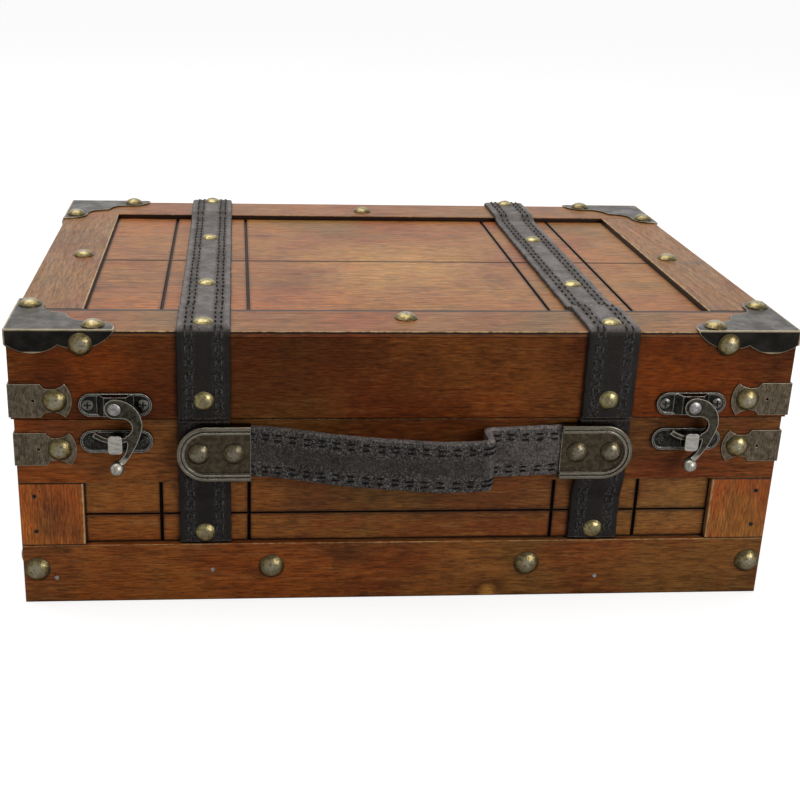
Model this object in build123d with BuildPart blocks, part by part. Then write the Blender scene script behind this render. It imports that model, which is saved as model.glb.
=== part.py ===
from build123d import *
import os

os.makedirs("parts", exist_ok=True)

# All sizes are in millimetres. The origin is the middle of the underside of the box,
# with X along the front, Y from the front to the back and Z up.

# The box
lid_width = 330.0
lid_depth = 242.0
box_height = 125.0
seam_height = 86.0          # top of the base's walls
seam_gap = 0.4              # between the base and the closed lid
lid_overhang = 1.0          # the lid stands proud of the base in front and at both ends
wall = 6.0
edge_round = 0.6            # worn rounding of the boards' edges

# Base panelling
trim = 3.0                  # thickness of the rails and end blocks
bottom_board = 5.0
bottom_rail_height = 27.6
top_rail_height = 29.0
end_block_width = 27.0

# Lid panelling
lid_board = 4.0
frame_thickness = 2.5
frame_rail_width = 30.5
frame_stile_width = 28.0

# Scored lines that divide the panels
groove_width = 1.5
long_groove_width = 0.9
groove_depth = 1.2
groove_from_strap = 18.8    # each strap runs midway between two grooves
end_groove = 35.5           # from the inner edge of an end block
long_groove_height = 41.0

# Leather
strap_in = 79.5             # from the end of the lid to the middle of a strap
strap_width = 22.0
strap_thickness = 2.0
strap_ramp = 8.0            # run over which a strap sinks from a rail to the panel
strap_bend = 2.6            # outside radius where a strap turns over the lid's edge
strap_end_gap = 0.8         # from the end of a strap to the rail or edge beside it
handle_width = 22.4
handle_thickness = 3.0
handle_height = 72.6        # middle of the handle above the table
handle_bow = 17.0           # room for fingers behind the handle
bow_start = 10.0            # from the left plate, where the handle leaves the wall
bow_turn = 27.0             # left of the middle
bow_far = 15.0              # right of the middle, where it stands out the most
bow_radius = 24.0
crease_place = 32.5
crease_drop = 0.8
crease_radius = 2.4

# Dome-headed nails: radius and height of the head
nail_radius = 4.9
nail_height = 2.7
strap_nail_radius = 4.3
strap_nail_height = 2.3
rail_nail_radius = 5.5
rail_nail_height = 3.0
nail_rim = 0.4              # straight edge of a head under its dome
brad_radius = 0.9
brad_height = 0.2

# Places of the nails
frame_nail_in = 18.5        # from the lid's outer edge
strap_nail_edge = 5.5       # from the lid's front and back edges
strap_nail_front = -48.0
strap_nail_back = 38.0
strap_nail_above_seam = 8.8
strap_nail_above_rail = 5.2
rail_nail_height_up = 16.4
rail_nail_in = 6.0          # from the end of the base
rail_nail_from_strap = 28.7
end_rail_nail_in = 14.5     # from the front and back of the base
brad_in = 6.5               # from the corner of the base
brad_rows = (34.5, 51.0)
rail_brad_in = 14.0
rail_brad_from_strap = 3.0
rail_brad_heights = (12.0, 15.0, 9.5)

# Corner protectors and corner clips, pressed from sheet
sheet = 0.8
protector_leg = 43.5
lobe_depth = 11.3           # of the rounded end of a leg, on the top
lobe_bulge = 2.9
lobe_shoulder = 2.3
hollow_bulge = 1.9          # between a lobe and the point on the diagonal
point_place = 21.8
point_length = 4.2
point_spread = 1.4
tab_drop = 5.8              # of the tab down an upright face, at the corner
tab_bulge = 3.6
tab_waist = 20.8            # between the tab's two lobes, along the leg
tab_end_bulge = 4.2
protector_nail_along = 34.6
protector_nail_in = 5.2
tab_nail_along = 29.9
tab_nail_down = 5.4
clip_sheet = 0.6
clip_leg = 25.4
clip_half_height = 7.3
clip_body = 12.6            # straight part, from the corner
clip_shoulder = 1.6
clip_neck_half = 5.4
clip_hollow = 1.2
clip_point = 22.6           # points of the fishtail, along the leg
clip_nail_along = 18.4
clip_hole_along = 9.6
clip_hole_radius = 0.7
lid_clip_above_seam = 8.5
base_clip_below_seam = 13.2

# Swing latches
latch_in = 43.1             # from the end of the lid to the pivot
pivot_above_seam = 6.8
latch_plate_length = 30.0
latch_plate_width = 10.0
latch_plate = 0.8
latch_rim_width = 0.9
latch_rim_height = 0.6
latch_screw_spacing = 22.6
screw_shank_radius = 1.5
screw_head_radius = 2.4
screw_head_height = 1.0
cross_slot_length = 3.0
cross_slot_width = 0.7
cross_slot_depth = 0.6
hook_stand_off = 4.0        # from the lid to the back of the hook, clear of the nail heads
hook_thickness = 2.2
hook_eye_radius = 4.2
hook_finger_radius = 14.2   # the finger is an arc round the pivot
hook_finger_width = 2.0
hook_finger_root = 28.0     # degrees from straight down, inside the arm
hook_finger_reach = 38.0    # degrees from straight down, past the post
arm_reach = 10.8            # outer edge of the curved arm at its widest, from the pivot
arm_reach_drop = 10.0
arm_hollow_start = 3.0      # the inner edge runs straight to here, then curves round
arm_hollow_end = 4.2
arm_hollow_drop = 12.0
arm_inner = 4.3             # inner edge below the finger
arm_inner_drop = 18.5
knob_radius = 3.1
knob_drop = 26.0            # from the pivot to the knob
knob_shift = 0.4
knob_lift = 0.3             # from the back of the hook to the back of the knob
arm_tip_half = 1.7          # half the arm's width where it meets the knob
rivet_radius = 1.5
rivet_head_radius = 2.6
rivet_head_height = 1.2
rivet_running_fit = 0.06    # round the rivet, in the hook's eye
face_play = 0.2             # in front of and behind the hook's eye
hump_length = 15.0
hump_top_length = 9.0
hump_top_width = 8.4
keeper_below_pivot = 16.7
post_width = 5.8
post_height = 7.9
post_head = 1.4
post_above_plate_middle = 1.4
post_stem_width = 3.6
post_play = 0.4             # round the finger in the slot of the post

# Handle plates
plate_from_strap = 19.5     # from the middle of the strap below to the plate's straight end
plate_length = 31.0
plate_height = 24.6
plate_sheet = 1.0
plate_rim_width = 3.2
plate_rim_height = 1.2
plate_rim_groove = 0.8      # runs round the rim between its two beads
plate_rim_groove_in = 1.5
plate_rim_groove_depth = 0.7
plate_rim_round = 0.5
handle_rivet_radius = 4.6
handle_rivet_height = 2.2
handle_rivet_inner = 7.2    # from the plate's straight end
handle_rivet_spacing = 14.7

# Back hinges
hinge_from_strap = 35.5
hinge_length = 26.0
hinge_leaf = 0.9
hinge_leaf_height = 13.0
knuckle_radius = 1.9
knuckle_clearance = 0.3     # between a knuckle and the wood or the other leaf
hinge_pin_radius = 1.0
hinge_pin_fit = 0.06
hinge_pin_head = 0.8
hinge_screw_spacing = 15.0
hinge_screw_up = 8.0

# Places that follow from the sizes above
half_width = lid_width / 2
half_depth = lid_depth / 2
base_half_width = half_width - lid_overhang
base_front = -half_depth + lid_overhang
base_back = half_depth
base_middle = (base_front + base_back) / 2
panel_half_width = base_half_width - trim
panel_front = base_front + trim
panel_back = base_back - trim
panel_depth = panel_back - panel_front
lid_bottom = seam_height + seam_gap
frame_bottom = box_height - frame_thickness
top_rail_bottom = seam_height - top_rail_height
panel_middle_height = (bottom_rail_height + top_rail_bottom) / 2
panel_open_height = top_rail_bottom - bottom_rail_height
strap_centre = half_width - strap_in
latch_centre = half_width - latch_in
hinge_centre = strap_centre - hinge_from_strap
plate_inner_end = strap_centre - plate_from_strap
groove_places = [side * strap_centre + step for side in (-1, 1)
                 for step in (-groove_from_strap, groove_from_strap)]
pivot_height = lid_bottom + pivot_above_seam
keeper_height = pivot_height - keeper_below_pivot
lid_clip_height = lid_bottom + lid_clip_above_seam
base_clip_height = seam_height - base_clip_below_seam
sides = ((-1, "left"), (1, "right"))


def finish(piece, label):
    """Label a finished piece and write it to a file of its own."""
    piece.part.label = label
    export_step(piece.part, f"parts/{label}.step")


def front_face(x, y, z):
    """A sketch plane that faces forward, with X to the right and Z up."""
    return Plane(origin=(x, y, z), x_dir=(1, 0, 0), z_dir=(0, -1, 0))


def back_face(x, y, z):
    """A sketch plane that faces backward, with Z up."""
    return Plane(origin=(x, y, z), x_dir=(-1, 0, 0), z_dir=(0, 1, 0))


def end_face(side, x, y, z):
    """A sketch plane on the left (side -1) or right (side 1) end, facing outward."""
    return Plane(origin=(side * x, y, z), x_dir=(0, side, 0), z_dir=(side, 0, 0))


def top_face(x, y, z):
    """A sketch plane that faces up."""
    return Plane(origin=(x, y, z))


def board(outer, length, bottom, top, thickness, label):
    """A board that stands behind its outside face, with that face's edges worn round."""
    with BuildPart() as piece:
        with BuildSketch(outer):
            with Locations((0, (bottom + top) / 2)):
                Rectangle(length, top - bottom)
        extrude(amount=-thickness)
        outside = piece.faces().sort_by(Axis(outer.origin, outer.z_dir))[-1]
        fillet(outside.edges(), radius=edge_round)
    finish(piece, label)


# Base: bottom board and four walls. The walls carry the scored lines of the panels.
with BuildPart() as base_bottom_board:
    with BuildSketch(Plane.XY):
        with Locations((0, base_middle)):
            Rectangle(2 * (panel_half_width - wall), panel_depth - 2 * wall)
    extrude(amount=bottom_board)
finish(base_bottom_board, "base_bottom_board")


def scored_wall(outer, length, panel_length, grooves, label):
    """A wall with one long scored line and a few upright ones on its outside."""
    with BuildPart() as piece:
        with BuildSketch(outer):
            with Locations((0, seam_height / 2)):
                Rectangle(length, seam_height)
        extrude(amount=-wall)
        with BuildSketch(outer):
            with Locations((0, long_groove_height)):
                Rectangle(panel_length, long_groove_width)
            with Locations(*[(place, panel_middle_height) for place in grooves]):
                Rectangle(groove_width, panel_open_height)
        extrude(amount=-groove_depth, mode=Mode.SUBTRACT)
    finish(piece, label)


front_panel_length = 2 * (base_half_width - end_block_width)
end_panel_length = panel_depth - 2 * end_block_width
scored_wall(front_face(0, panel_front, 0), 2 * panel_half_width, front_panel_length,
            groove_places, "base_front_wall")
scored_wall(back_face(0, panel_back, 0), 2 * panel_half_width, front_panel_length,
            groove_places, "base_back_wall")
end_grooves = [side * (end_panel_length / 2 - end_groove) for side in (-1, 1)]
for side, name in sides:
    scored_wall(end_face(side, panel_half_width, base_middle, 0), panel_depth - 2 * wall,
                end_panel_length, end_grooves, f"base_{name}_wall")

# Base rails and end blocks. Those in front and behind run the full width, and those at
# the ends fit between them.
outsides = (
    ("front", front_face(0, base_front, 0), 2 * base_half_width),
    ("back", back_face(0, base_back, 0), 2 * base_half_width),
    ("left", end_face(-1, base_half_width, base_middle, 0), panel_depth),
    ("right", end_face(1, base_half_width, base_middle, 0), panel_depth),
)
for name, outer, length in outsides:
    board(outer, length, 0, bottom_rail_height, trim, f"base_{name}_bottom_rail")
    board(outer, length, top_rail_bottom, seam_height, trim, f"base_{name}_top_rail")
    with BuildPart() as end_blocks:
        with BuildSketch(outer):
            with Locations(*[(side * (length - end_block_width) / 2, panel_middle_height)
                             for side in (-1, 1)]):
                Rectangle(end_block_width, panel_open_height)
        extrude(amount=-trim)
        outside = end_blocks.faces().group_by(Axis(outer.origin, outer.z_dir))[-1]
        fillet(outside.edges(), radius=edge_round)
    finish(end_blocks, f"base_{name}_end_blocks")

# Lid: four walls, a scored top board let in between them, and a frame laid over both
board(front_face(0, -half_depth, 0), lid_width, lid_bottom, frame_bottom, wall, "lid_front_wall")
board(back_face(0, half_depth, 0), lid_width, lid_bottom, frame_bottom, wall, "lid_back_wall")
for side, name in sides:
    board(end_face(side, half_width, 0, 0), lid_depth - 2 * wall, lid_bottom, frame_bottom,
          wall, f"lid_{name}_wall")

frame_open_depth = lid_depth - 2 * frame_rail_width
frame_open_width = lid_width - 2 * frame_stile_width
with BuildPart() as lid_top_board:
    with BuildSketch(Plane.XY.offset(frame_bottom)):
        Rectangle(lid_width - 2 * wall, lid_depth - 2 * wall)
    extrude(amount=-lid_board)
    with BuildSketch(Plane.XY.offset(frame_bottom)):
        Rectangle(frame_open_width, long_groove_width)
        with Locations(*[(place, 0) for place in groove_places]):
            Rectangle(groove_width, frame_open_depth)
    extrude(amount=-groove_depth, mode=Mode.SUBTRACT)
finish(lid_top_board, "lid_top_board")


def frame_piece(x, y, width, depth, label):
    """One flat piece of the frame on the lid, with its top edges worn round."""
    with BuildPart() as piece:
        with BuildSketch(Plane.XY.offset(frame_bottom)):
            with Locations((x, y)):
                Rectangle(width, depth)
        extrude(amount=frame_thickness)
        fillet(piece.faces().sort_by(Axis.Z)[-1].edges(), radius=edge_round)
    finish(piece, label)


for row, name in ((-1, "front"), (1, "back")):
    frame_piece(0, row * (lid_depth - frame_rail_width) / 2, lid_width, frame_rail_width,
                f"lid_{name}_frame_rail")
for side, name in sides:
    frame_piece(side * (lid_width - frame_stile_width) / 2, 0, frame_stile_width,
                frame_open_depth, f"lid_{name}_frame_stile")

# Corner protectors: sheet metal pressed over the three faces of a lid corner. The top
# plate narrows from the corner in two hollow curves that meet in a point on the
# diagonal, and each leg ends in a rounded lobe with a nail through it.
corner = (-half_width, -half_depth, box_height)


def protector_tab(plane):
    """The tab that hangs over one upright face, drawn from the corner along the leg."""
    with BuildSketch(plane) as tab:
        with BuildLine():
            Polyline((protector_leg, 0), (-sheet, 0), (-sheet, tab_drop), (0, tab_drop))
            SagittaArc((0, tab_drop), (tab_waist, tab_drop), tab_bulge)
            SagittaArc((tab_waist, tab_drop), (protector_leg, 0), tab_end_bulge)
        make_face()
    return tab.sketch


def half_protector_edge():
    """The edge of the top plate from the end of one leg to the point on the diagonal."""
    lobe_end = protector_nail_along - lobe_shoulder
    with BuildLine() as edge:
        Polyline((-sheet, -sheet), (protector_leg, -sheet), (protector_leg, 0))
        SagittaArc((protector_leg, 0), (protector_nail_along, lobe_depth), -lobe_bulge)
        Line((protector_nail_along, lobe_depth), (lobe_end, lobe_depth))
        SagittaArc((lobe_end, lobe_depth), (point_place + point_spread, point_place - point_length),
                   hollow_bulge)
        Line((point_place + point_spread, point_place - point_length), (point_place, point_place))
    return edge.line


with BuildPart() as front_left_protector:
    with BuildSketch(Plane(origin=corner)):
        with BuildLine():
            add(half_protector_edge())
            mirror(half_protector_edge(), about=Plane(origin=(0, 0, 0), z_dir=(1, -1, 0)))
        make_face()
    extrude(amount=sheet)
    extrude(protector_tab(Plane(origin=corner, x_dir=(1, 0, 0), z_dir=(0, 1, 0))), amount=-sheet)
    extrude(protector_tab(Plane(origin=corner, x_dir=(0, 1, 0), z_dir=(-1, 0, 0))), amount=sheet)
finish(front_left_protector, "lid_corner_protector_front_left")

with BuildPart() as front_right_protector:
    mirror(front_left_protector.part, about=Plane.YZ)
finish(front_right_protector, "lid_corner_protector_front_right")
with BuildPart() as back_left_protector:
    mirror(front_left_protector.part, about=Plane.XZ)
finish(back_left_protector, "lid_corner_protector_back_left")
with BuildPart() as back_right_protector:
    mirror(front_right_protector.part, about=Plane.XZ)
finish(back_right_protector, "lid_corner_protector_back_right")


# Corner clips: straps of sheet metal bent round the upright corners above and below
# the seam, with a fishtail at each end and a nail in it
def clip_leg_outline(plane):
    """One leg of a clip, from the corner out to the points of its fishtail."""
    with BuildSketch(plane) as leg:
        with BuildLine():
            Polyline((-clip_sheet, 0), (-clip_sheet, clip_half_height), (clip_body, clip_half_height),
                     (clip_body + clip_shoulder, clip_neck_half))
            SagittaArc((clip_body + clip_shoulder, clip_neck_half), (clip_point, clip_half_height),
                       -clip_hollow)
            TangentArc((clip_leg, 0), (clip_point, clip_half_height), tangent=(0, 1))
            mirror(about=Plane.XZ)
        make_face()
        with Locations((clip_hole_along, 0)):
            Circle(clip_hole_radius, mode=Mode.SUBTRACT)
    return leg.sketch


def corner_clips(half, front, middle, height, label):
    """Four clips round the upright corners, at one height."""
    with BuildPart() as clips:
        side_plane = Plane(origin=(-half, front, height), x_dir=(0, 1, 0), z_dir=(-1, 0, 0))
        extrude(clip_leg_outline(front_face(-half, front, height)), amount=clip_sheet)
        extrude(clip_leg_outline(side_plane), amount=clip_sheet)
        mirror(about=Plane.YZ)
        mirror(about=Plane.XZ.offset(-middle))
    finish(clips, label)


corner_clips(half_width, -half_depth, 0, lid_clip_height, "lid_corner_clips")
corner_clips(base_half_width, base_front, base_middle, base_clip_height, "base_corner_clips")


# Straps: flat leather nailed over the lid, and short pieces below the seam
def lid_strap_line(out):
    """The strap's way over the lid, a distance out from the wood."""
    edge = half_depth + out
    top = box_height + out
    rail_edge = half_depth - frame_rail_width
    low = frame_bottom + out
    end = lid_bottom + strap_end_gap
    return [(-edge, end), (-edge, top), (-rail_edge, top), (-rail_edge + strap_ramp, low),
            (rail_edge - strap_ramp, low), (rail_edge, top), (edge, top), (edge, end)]


for side, name in sides:
    with BuildPart() as strap:
        with BuildSketch(Plane.YZ.offset(side * strap_centre)):
            Polygon(*lid_strap_line(strap_thickness), align=None)
            Polygon(*lid_strap_line(0), align=None, mode=Mode.SUBTRACT)
        extrude(amount=strap_width / 2, both=True)
        bends = strap.edges().filter_by(Axis.X).group_by(Axis.Z)[-1].group_by(Axis.Y)
        fillet(bends[0] + bends[-1], radius=strap_bend)
    finish(strap, f"lid_strap_{name}")


def base_strap_line(out):
    """The strap's way down from the seam, over the top rail and into the panel."""
    top = seam_height - seam_gap
    end = bottom_rail_height + strap_end_gap
    return [(out, top), (out, top_rail_bottom), (out - trim, top_rail_bottom - strap_ramp),
            (out - trim, end)]


for row, face_y, row_name in ((-1, base_front, "front"), (1, base_back, "back")):
    for side, name in sides:
        with BuildPart() as strap:
            strap_plane = Plane(origin=(side * strap_centre, face_y, 0), x_dir=(0, row, 0),
                                z_dir=(row, 0, 0))
            with BuildSketch(strap_plane):
                Polygon(*base_strap_line(strap_thickness), *reversed(base_strap_line(0)), align=None)
            extrude(amount=strap_width / 2, both=True)
        finish(strap, f"base_strap_{row_name}_{name}")


# Nails: low domes with a short straight rim
def dome(radius, height):
    """The head of a nail or rivet, standing on the origin."""
    with BuildPart(mode=Mode.PRIVATE) as head:
        with BuildSketch(Plane.XZ):
            with BuildLine():
                Polyline((0, height), (0, 0), (radius, 0), (radius, nail_rim))
                TangentArc((0, height), (radius, nail_rim), tangent=(1, 0))
            make_face()
        revolve(axis=Axis.Z)
    return head.part


def nail_group(heads, label):
    """Nails of one body: each entry is a head and the places where it is driven."""
    with BuildPart() as nails:
        for head, places in heads:
            with Locations(*places):
                add(head)
    finish(nails, label)


def corner_rows(half, front, back, along, out, height):
    """Eight places beside the upright corners, two at each, on the box's outside."""
    places = []
    for side in (-1, 1):
        places.append(front_face(side * (half - along), front - out, height))
        places.append(back_face(side * (half - along), back + out, height))
        places.append(end_face(side, half + out, front + along, height))
        places.append(end_face(side, half + out, back - along, height))
    return places


clip_nail = dome(nail_radius, nail_height)
strap_nail = dome(strap_nail_radius, strap_nail_height)
rail_nail = dome(rail_nail_radius, rail_nail_height)
protector_top_nails = []
for x_sign in (-1, 1):
    for y_sign in (-1, 1):
        near = (half_width - protector_nail_along, half_depth - protector_nail_in)
        far = (half_width - protector_nail_in, half_depth - protector_nail_along)
        for x, y in (near, far):
            protector_top_nails.append(top_face(x_sign * x, y_sign * y, box_height + sheet))
frame_nails = [top_face(side * (half_width - frame_nail_in), 0, box_height) for side in (-1, 1)]
frame_nails += [top_face(0, row * (half_depth - frame_nail_in), box_height) for row in (-1, 1)]
nail_group((
    (clip_nail, protector_top_nails),
    (clip_nail, corner_rows(half_width, -half_depth, half_depth, tab_nail_along, sheet,
                            box_height - tab_nail_down)),
    (clip_nail, corner_rows(half_width, -half_depth, half_depth, clip_nail_along, clip_sheet,
                            lid_clip_height)),
    (clip_nail, frame_nails),
), "lid_dome_nails")

rail_nail_places = (strap_centre - rail_nail_from_strap, base_half_width - rail_nail_in)
end_nail_place = (base_back - base_front) / 2 - end_rail_nail_in
rail_nails = [face(side * place, y, rail_nail_height_up)
              for face, y in ((front_face, base_front), (back_face, base_back))
              for place in rail_nail_places for side in (-1, 1)]
rail_nails += [end_face(side, base_half_width, base_middle + place, rail_nail_height_up)
               for side in (-1, 1) for place in (-end_nail_place, 0, end_nail_place)]
nail_group((
    (rail_nail, rail_nails),
    (clip_nail, corner_rows(base_half_width, base_front, base_back, clip_nail_along, clip_sheet,
                            base_clip_height)),
), "base_dome_nails")

strap_front = -half_depth - strap_thickness
strap_back = half_depth + strap_thickness
strap_low_top = frame_bottom + strap_thickness
strap_nails = []
for side in (-1, 1):
    x = side * strap_centre
    strap_nails.append(front_face(x, strap_front, lid_bottom + strap_nail_above_seam))
    strap_nails.append(back_face(x, strap_back, lid_bottom + strap_nail_above_seam))
    for row in (-1, 1):
        strap_nails.append(top_face(x, row * (half_depth - strap_nail_edge), box_height + strap_thickness))
    for y in (strap_nail_front, strap_nail_back):
        strap_nails.append(top_face(x, y, strap_low_top))
nail_group(((strap_nail, strap_nails),), "lid_strap_nails")

base_strap_nails = []
for side in (-1, 1):
    x = side * strap_centre
    low = bottom_rail_height + strap_nail_above_rail
    base_strap_nails.append(front_face(x, panel_front - strap_thickness, low))
    base_strap_nails.append(back_face(x, panel_back + strap_thickness, low))
    base_strap_nails.append(back_face(x, base_back + strap_thickness,
                                      seam_height - strap_nail_above_seam))
nail_group(((strap_nail, base_strap_nails),), "base_strap_nails")

rail_brad_places = (rail_brad_in - base_half_width, rail_brad_from_strap - strap_centre,
                    rail_brad_from_strap + strap_centre)
with BuildPart() as base_brads:
    for face, y in ((front_face, base_front), (back_face, base_back)):
        with BuildSketch(face(0, y, 0)):
            with Locations(*[(side * (base_half_width - brad_in), row)
                             for side in (-1, 1) for row in brad_rows]):
                Circle(brad_radius)
            with Locations(*zip(rail_brad_places, rail_brad_heights)):
                Circle(brad_radius)
        extrude(amount=brad_height)
finish(base_brads, "base_brads")

# Swing latches. The plate on the lid is humped in the middle and carries the hook on a
# rivet. The hook's finger swings round the rivet into the slot of the keeper's post.
hook_front = hook_stand_off + hook_thickness
hump_top = hook_stand_off - face_play
knob_middle = hook_stand_off + knob_lift + knob_radius
screw_places = [(side * latch_screw_spacing / 2, 0) for side in (-1, 1)]
finger_low = keeper_below_pivot - hook_finger_radius - hook_finger_width / 2 - post_play
post_bottom = post_above_plate_middle - post_height / 2
head_back = hook_front + lid_overhang + post_play


def latch_plate_outline(plane):
    """A round-ended plate with two screw holes."""
    with BuildSketch(plane) as outline:
        SlotOverall(latch_plate_length, latch_plate_width)
        with Locations(*screw_places):
            Circle(screw_shank_radius, mode=Mode.SUBTRACT)
    return outline.sketch


def latch_plate_rim(plane):
    """The raised edge that is pressed up round a plate."""
    with BuildSketch(plane.offset(latch_plate)) as rim:
        SlotOverall(latch_plate_length, latch_plate_width)
        SlotOverall(latch_plate_length - 2 * latch_rim_width, latch_plate_width - 2 * latch_rim_width,
                    mode=Mode.SUBTRACT)
    return rim.sketch


def hook_outline(plane):
    """A hook seen from the front: the eye, the curved arm, and the finger, which is an arc
    round the pivot from inside the arm to past the post."""
    middle = (hook_finger_root - hook_finger_reach) / 2
    near, far = [[Vector(0, -radius).rotate(Axis.Z, angle)
                  for angle in (hook_finger_root, middle, -hook_finger_reach)]
                 for radius in (hook_finger_radius - hook_finger_width / 2,
                                hook_finger_radius + hook_finger_width / 2)]
    with BuildSketch(plane) as outline:
        with BuildLine():
            shoulder = TangentArc((0, hook_eye_radius), (arm_reach, -arm_reach_drop), tangent=(1, 0))
            outer_edge = TangentArc(shoulder @ 1, (knob_shift + arm_tip_half, -knob_drop),
                                    tangent=shoulder % 1)
            straight = Line((0, -hook_eye_radius), (arm_hollow_start, -hook_eye_radius))
            hollow = TangentArc(straight @ 1, (arm_hollow_end, -arm_hollow_drop), tangent=(1, 0))
            inner_edge = ThreePointArc(hollow @ 1, (arm_inner, -arm_inner_drop),
                                       (knob_shift - arm_tip_half, arm_tip_half - knob_drop))
            Line(outer_edge @ 1, inner_edge @ 1)
            ThreePointArc(shoulder @ 0, (-hook_eye_radius, 0), straight @ 0)
        make_face()
        with BuildLine():
            ThreePointArc(*near)
            ThreePointArc(*far)
            Line(near[0], far[0])
            Line(near[-1], far[-1])
        make_face()
    return outline.sketch


# The hook: an eye, a curved arm with the finger springing from it, and a knob. It is shaped
# round its own pivot.
hook_plane = front_face(0, -hook_stand_off, 0)
knob_centre = (knob_shift, -knob_middle, -knob_drop)
with BuildPart(mode=Mode.PRIVATE) as hook_shape:
    extrude(hook_outline(hook_plane), amount=hook_thickness)
    with Locations(knob_centre):
        Sphere(knob_radius)
    with BuildSketch(hook_plane):
        Circle(rivet_radius + rivet_running_fit)
    extrude(amount=hook_thickness, mode=Mode.SUBTRACT)

for side, name in sides:
    pivot = front_face(side * latch_centre, -half_depth, pivot_height)
    with BuildPart() as latch:
        extrude(latch_plate_outline(pivot), amount=latch_plate)
        extrude(latch_plate_rim(pivot), amount=latch_rim_height)
        with BuildSketch(pivot.offset(latch_plate)):
            Rectangle(hump_length, latch_plate_width)
        with BuildSketch(pivot.offset(hump_top)):
            Rectangle(hump_top_length, hump_top_width)
        loft()
        with BuildSketch(pivot):
            Circle(rivet_radius)
        extrude(amount=hump_top, mode=Mode.SUBTRACT)
    finish(latch, f"latch_plate_{name}")

    with BuildPart() as hook:
        with Locations(pivot.origin):
            add(hook_shape.part)
    finish(hook, f"hook_{name}")

    # The keeper: a plate on the base with a post that reaches under the finger and up
    # in front of it
    keeper_plane = front_face(side * latch_centre, base_front, keeper_height)
    with BuildPart() as keeper:
        extrude(latch_plate_outline(keeper_plane), amount=latch_plate)
        extrude(latch_plate_rim(keeper_plane), amount=latch_rim_height)
        with BuildSketch(keeper_plane.offset(latch_plate)):
            with Locations((0, (finger_low + post_bottom) / 2)):
                Rectangle(post_stem_width, finger_low - post_bottom)
        extrude(amount=head_back - latch_plate)
        with BuildSketch(keeper_plane.offset(head_back)):
            with Locations((0, post_above_plate_middle)):
                RectangleRounded(post_width, post_height, post_width / 4)
        extrude(amount=post_head)
    finish(keeper, f"keeper_{name}")

with BuildPart() as latch_rivets:
    rivet_head = dome(rivet_head_radius, rivet_head_height)
    for side, name in sides:
        pivot = front_face(side * latch_centre, -half_depth, pivot_height)
        with BuildSketch(pivot):
            Circle(rivet_radius)
        extrude(amount=hook_front + face_play)
        with Locations(pivot.offset(hook_front + face_play)):
            add(rivet_head)
finish(latch_rivets, "latch_rivets")


def cross_head_screw(plate):
    """A screw head with a cross slot, on a shank that fills the hole of its plate."""
    head = dome(screw_head_radius, screw_head_height)
    with BuildPart(mode=Mode.PRIVATE) as screw:
        with BuildSketch(Plane.XY):
            Circle(screw_shank_radius)
        extrude(amount=plate)
        with Locations((0, 0, plate)):
            add(head)
        with BuildSketch(Plane.XY.offset(plate + screw_head_height)):
            Rectangle(cross_slot_length, cross_slot_width)
            Rectangle(cross_slot_width, cross_slot_length)
        extrude(amount=-cross_slot_depth, mode=Mode.SUBTRACT)
    return screw.part


# Back hinges: a leaf on the lid with the middle knuckle, a leaf on the base with the
# outer two, and a pin through all three
hinge_axis_y = half_depth + knuckle_radius + knuckle_clearance
hinge_axis_z = (seam_height + lid_bottom) / 2
middle_half = hinge_length / 6
hinge_screws = {"lid": [], "base": []}
for row, body in ((1, "lid"), (-1, "base")):
    with BuildPart() as leaves:
        for side in (-1, 1):
            leaf_plane = back_face(side * hinge_centre, half_depth, hinge_axis_z)
            axis_plane = Plane(origin=(side * hinge_centre, hinge_axis_y, hinge_axis_z),
                               x_dir=(0, 1, 0), z_dir=(1, 0, 0))
            with BuildSketch(leaf_plane):
                with Locations((0, row * hinge_leaf_height / 2)):
                    Rectangle(hinge_length, hinge_leaf_height)
                with Locations(*[(step * hinge_screw_spacing / 2, row * hinge_screw_up)
                                 for step in (-1, 1)]):
                    Circle(screw_shank_radius, mode=Mode.SUBTRACT)
            extrude(amount=hinge_leaf)
            # Clear the whole barrel, then put back this leaf's own knuckles
            with BuildSketch(axis_plane):
                Circle(knuckle_radius + knuckle_clearance)
            extrude(amount=hinge_length / 2, both=True, mode=Mode.SUBTRACT)
            if body == "lid":
                spans = ((-middle_half + knuckle_clearance / 2, middle_half - knuckle_clearance / 2),)
                bore = hinge_pin_radius + hinge_pin_fit
            else:
                spans = ((-hinge_length / 2, -middle_half - knuckle_clearance / 2),
                         (middle_half + knuckle_clearance / 2, hinge_length / 2))
                bore = hinge_pin_radius
            for start, end in spans:
                with BuildSketch(axis_plane.offset(start)):
                    Circle(knuckle_radius)
                    with Locations((half_depth + hinge_leaf / 2 - hinge_axis_y, row * knuckle_radius)):
                        Rectangle(hinge_leaf, 2 * knuckle_radius - 2 * knuckle_clearance)
                    Circle(bore, mode=Mode.SUBTRACT)
                extrude(amount=end - start)
            hinge_screws[body] += [back_face(side * hinge_centre + step * hinge_screw_spacing / 2,
                                             half_depth, hinge_axis_z + row * hinge_screw_up)
                                   for step in (-1, 1)]
    finish(leaves, f"hinge_{body}_leaves")

with BuildPart() as hinge_pins:
    for side in (-1, 1):
        with BuildSketch(Plane.YZ.offset(side * hinge_centre - hinge_length / 2 - hinge_pin_head)):
            with Locations((hinge_axis_y, hinge_axis_z)):
                Circle(hinge_pin_radius)
        extrude(amount=hinge_length + 2 * hinge_pin_head)
        for end in (-1, 1):
            start = side * hinge_centre + end * hinge_length / 2
            with BuildSketch(Plane.YZ.offset(start)):
                with Locations((hinge_axis_y, hinge_axis_z)):
                    Circle(knuckle_radius - knuckle_clearance)
            extrude(amount=end * hinge_pin_head)
finish(hinge_pins, "hinge_pins")

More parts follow.
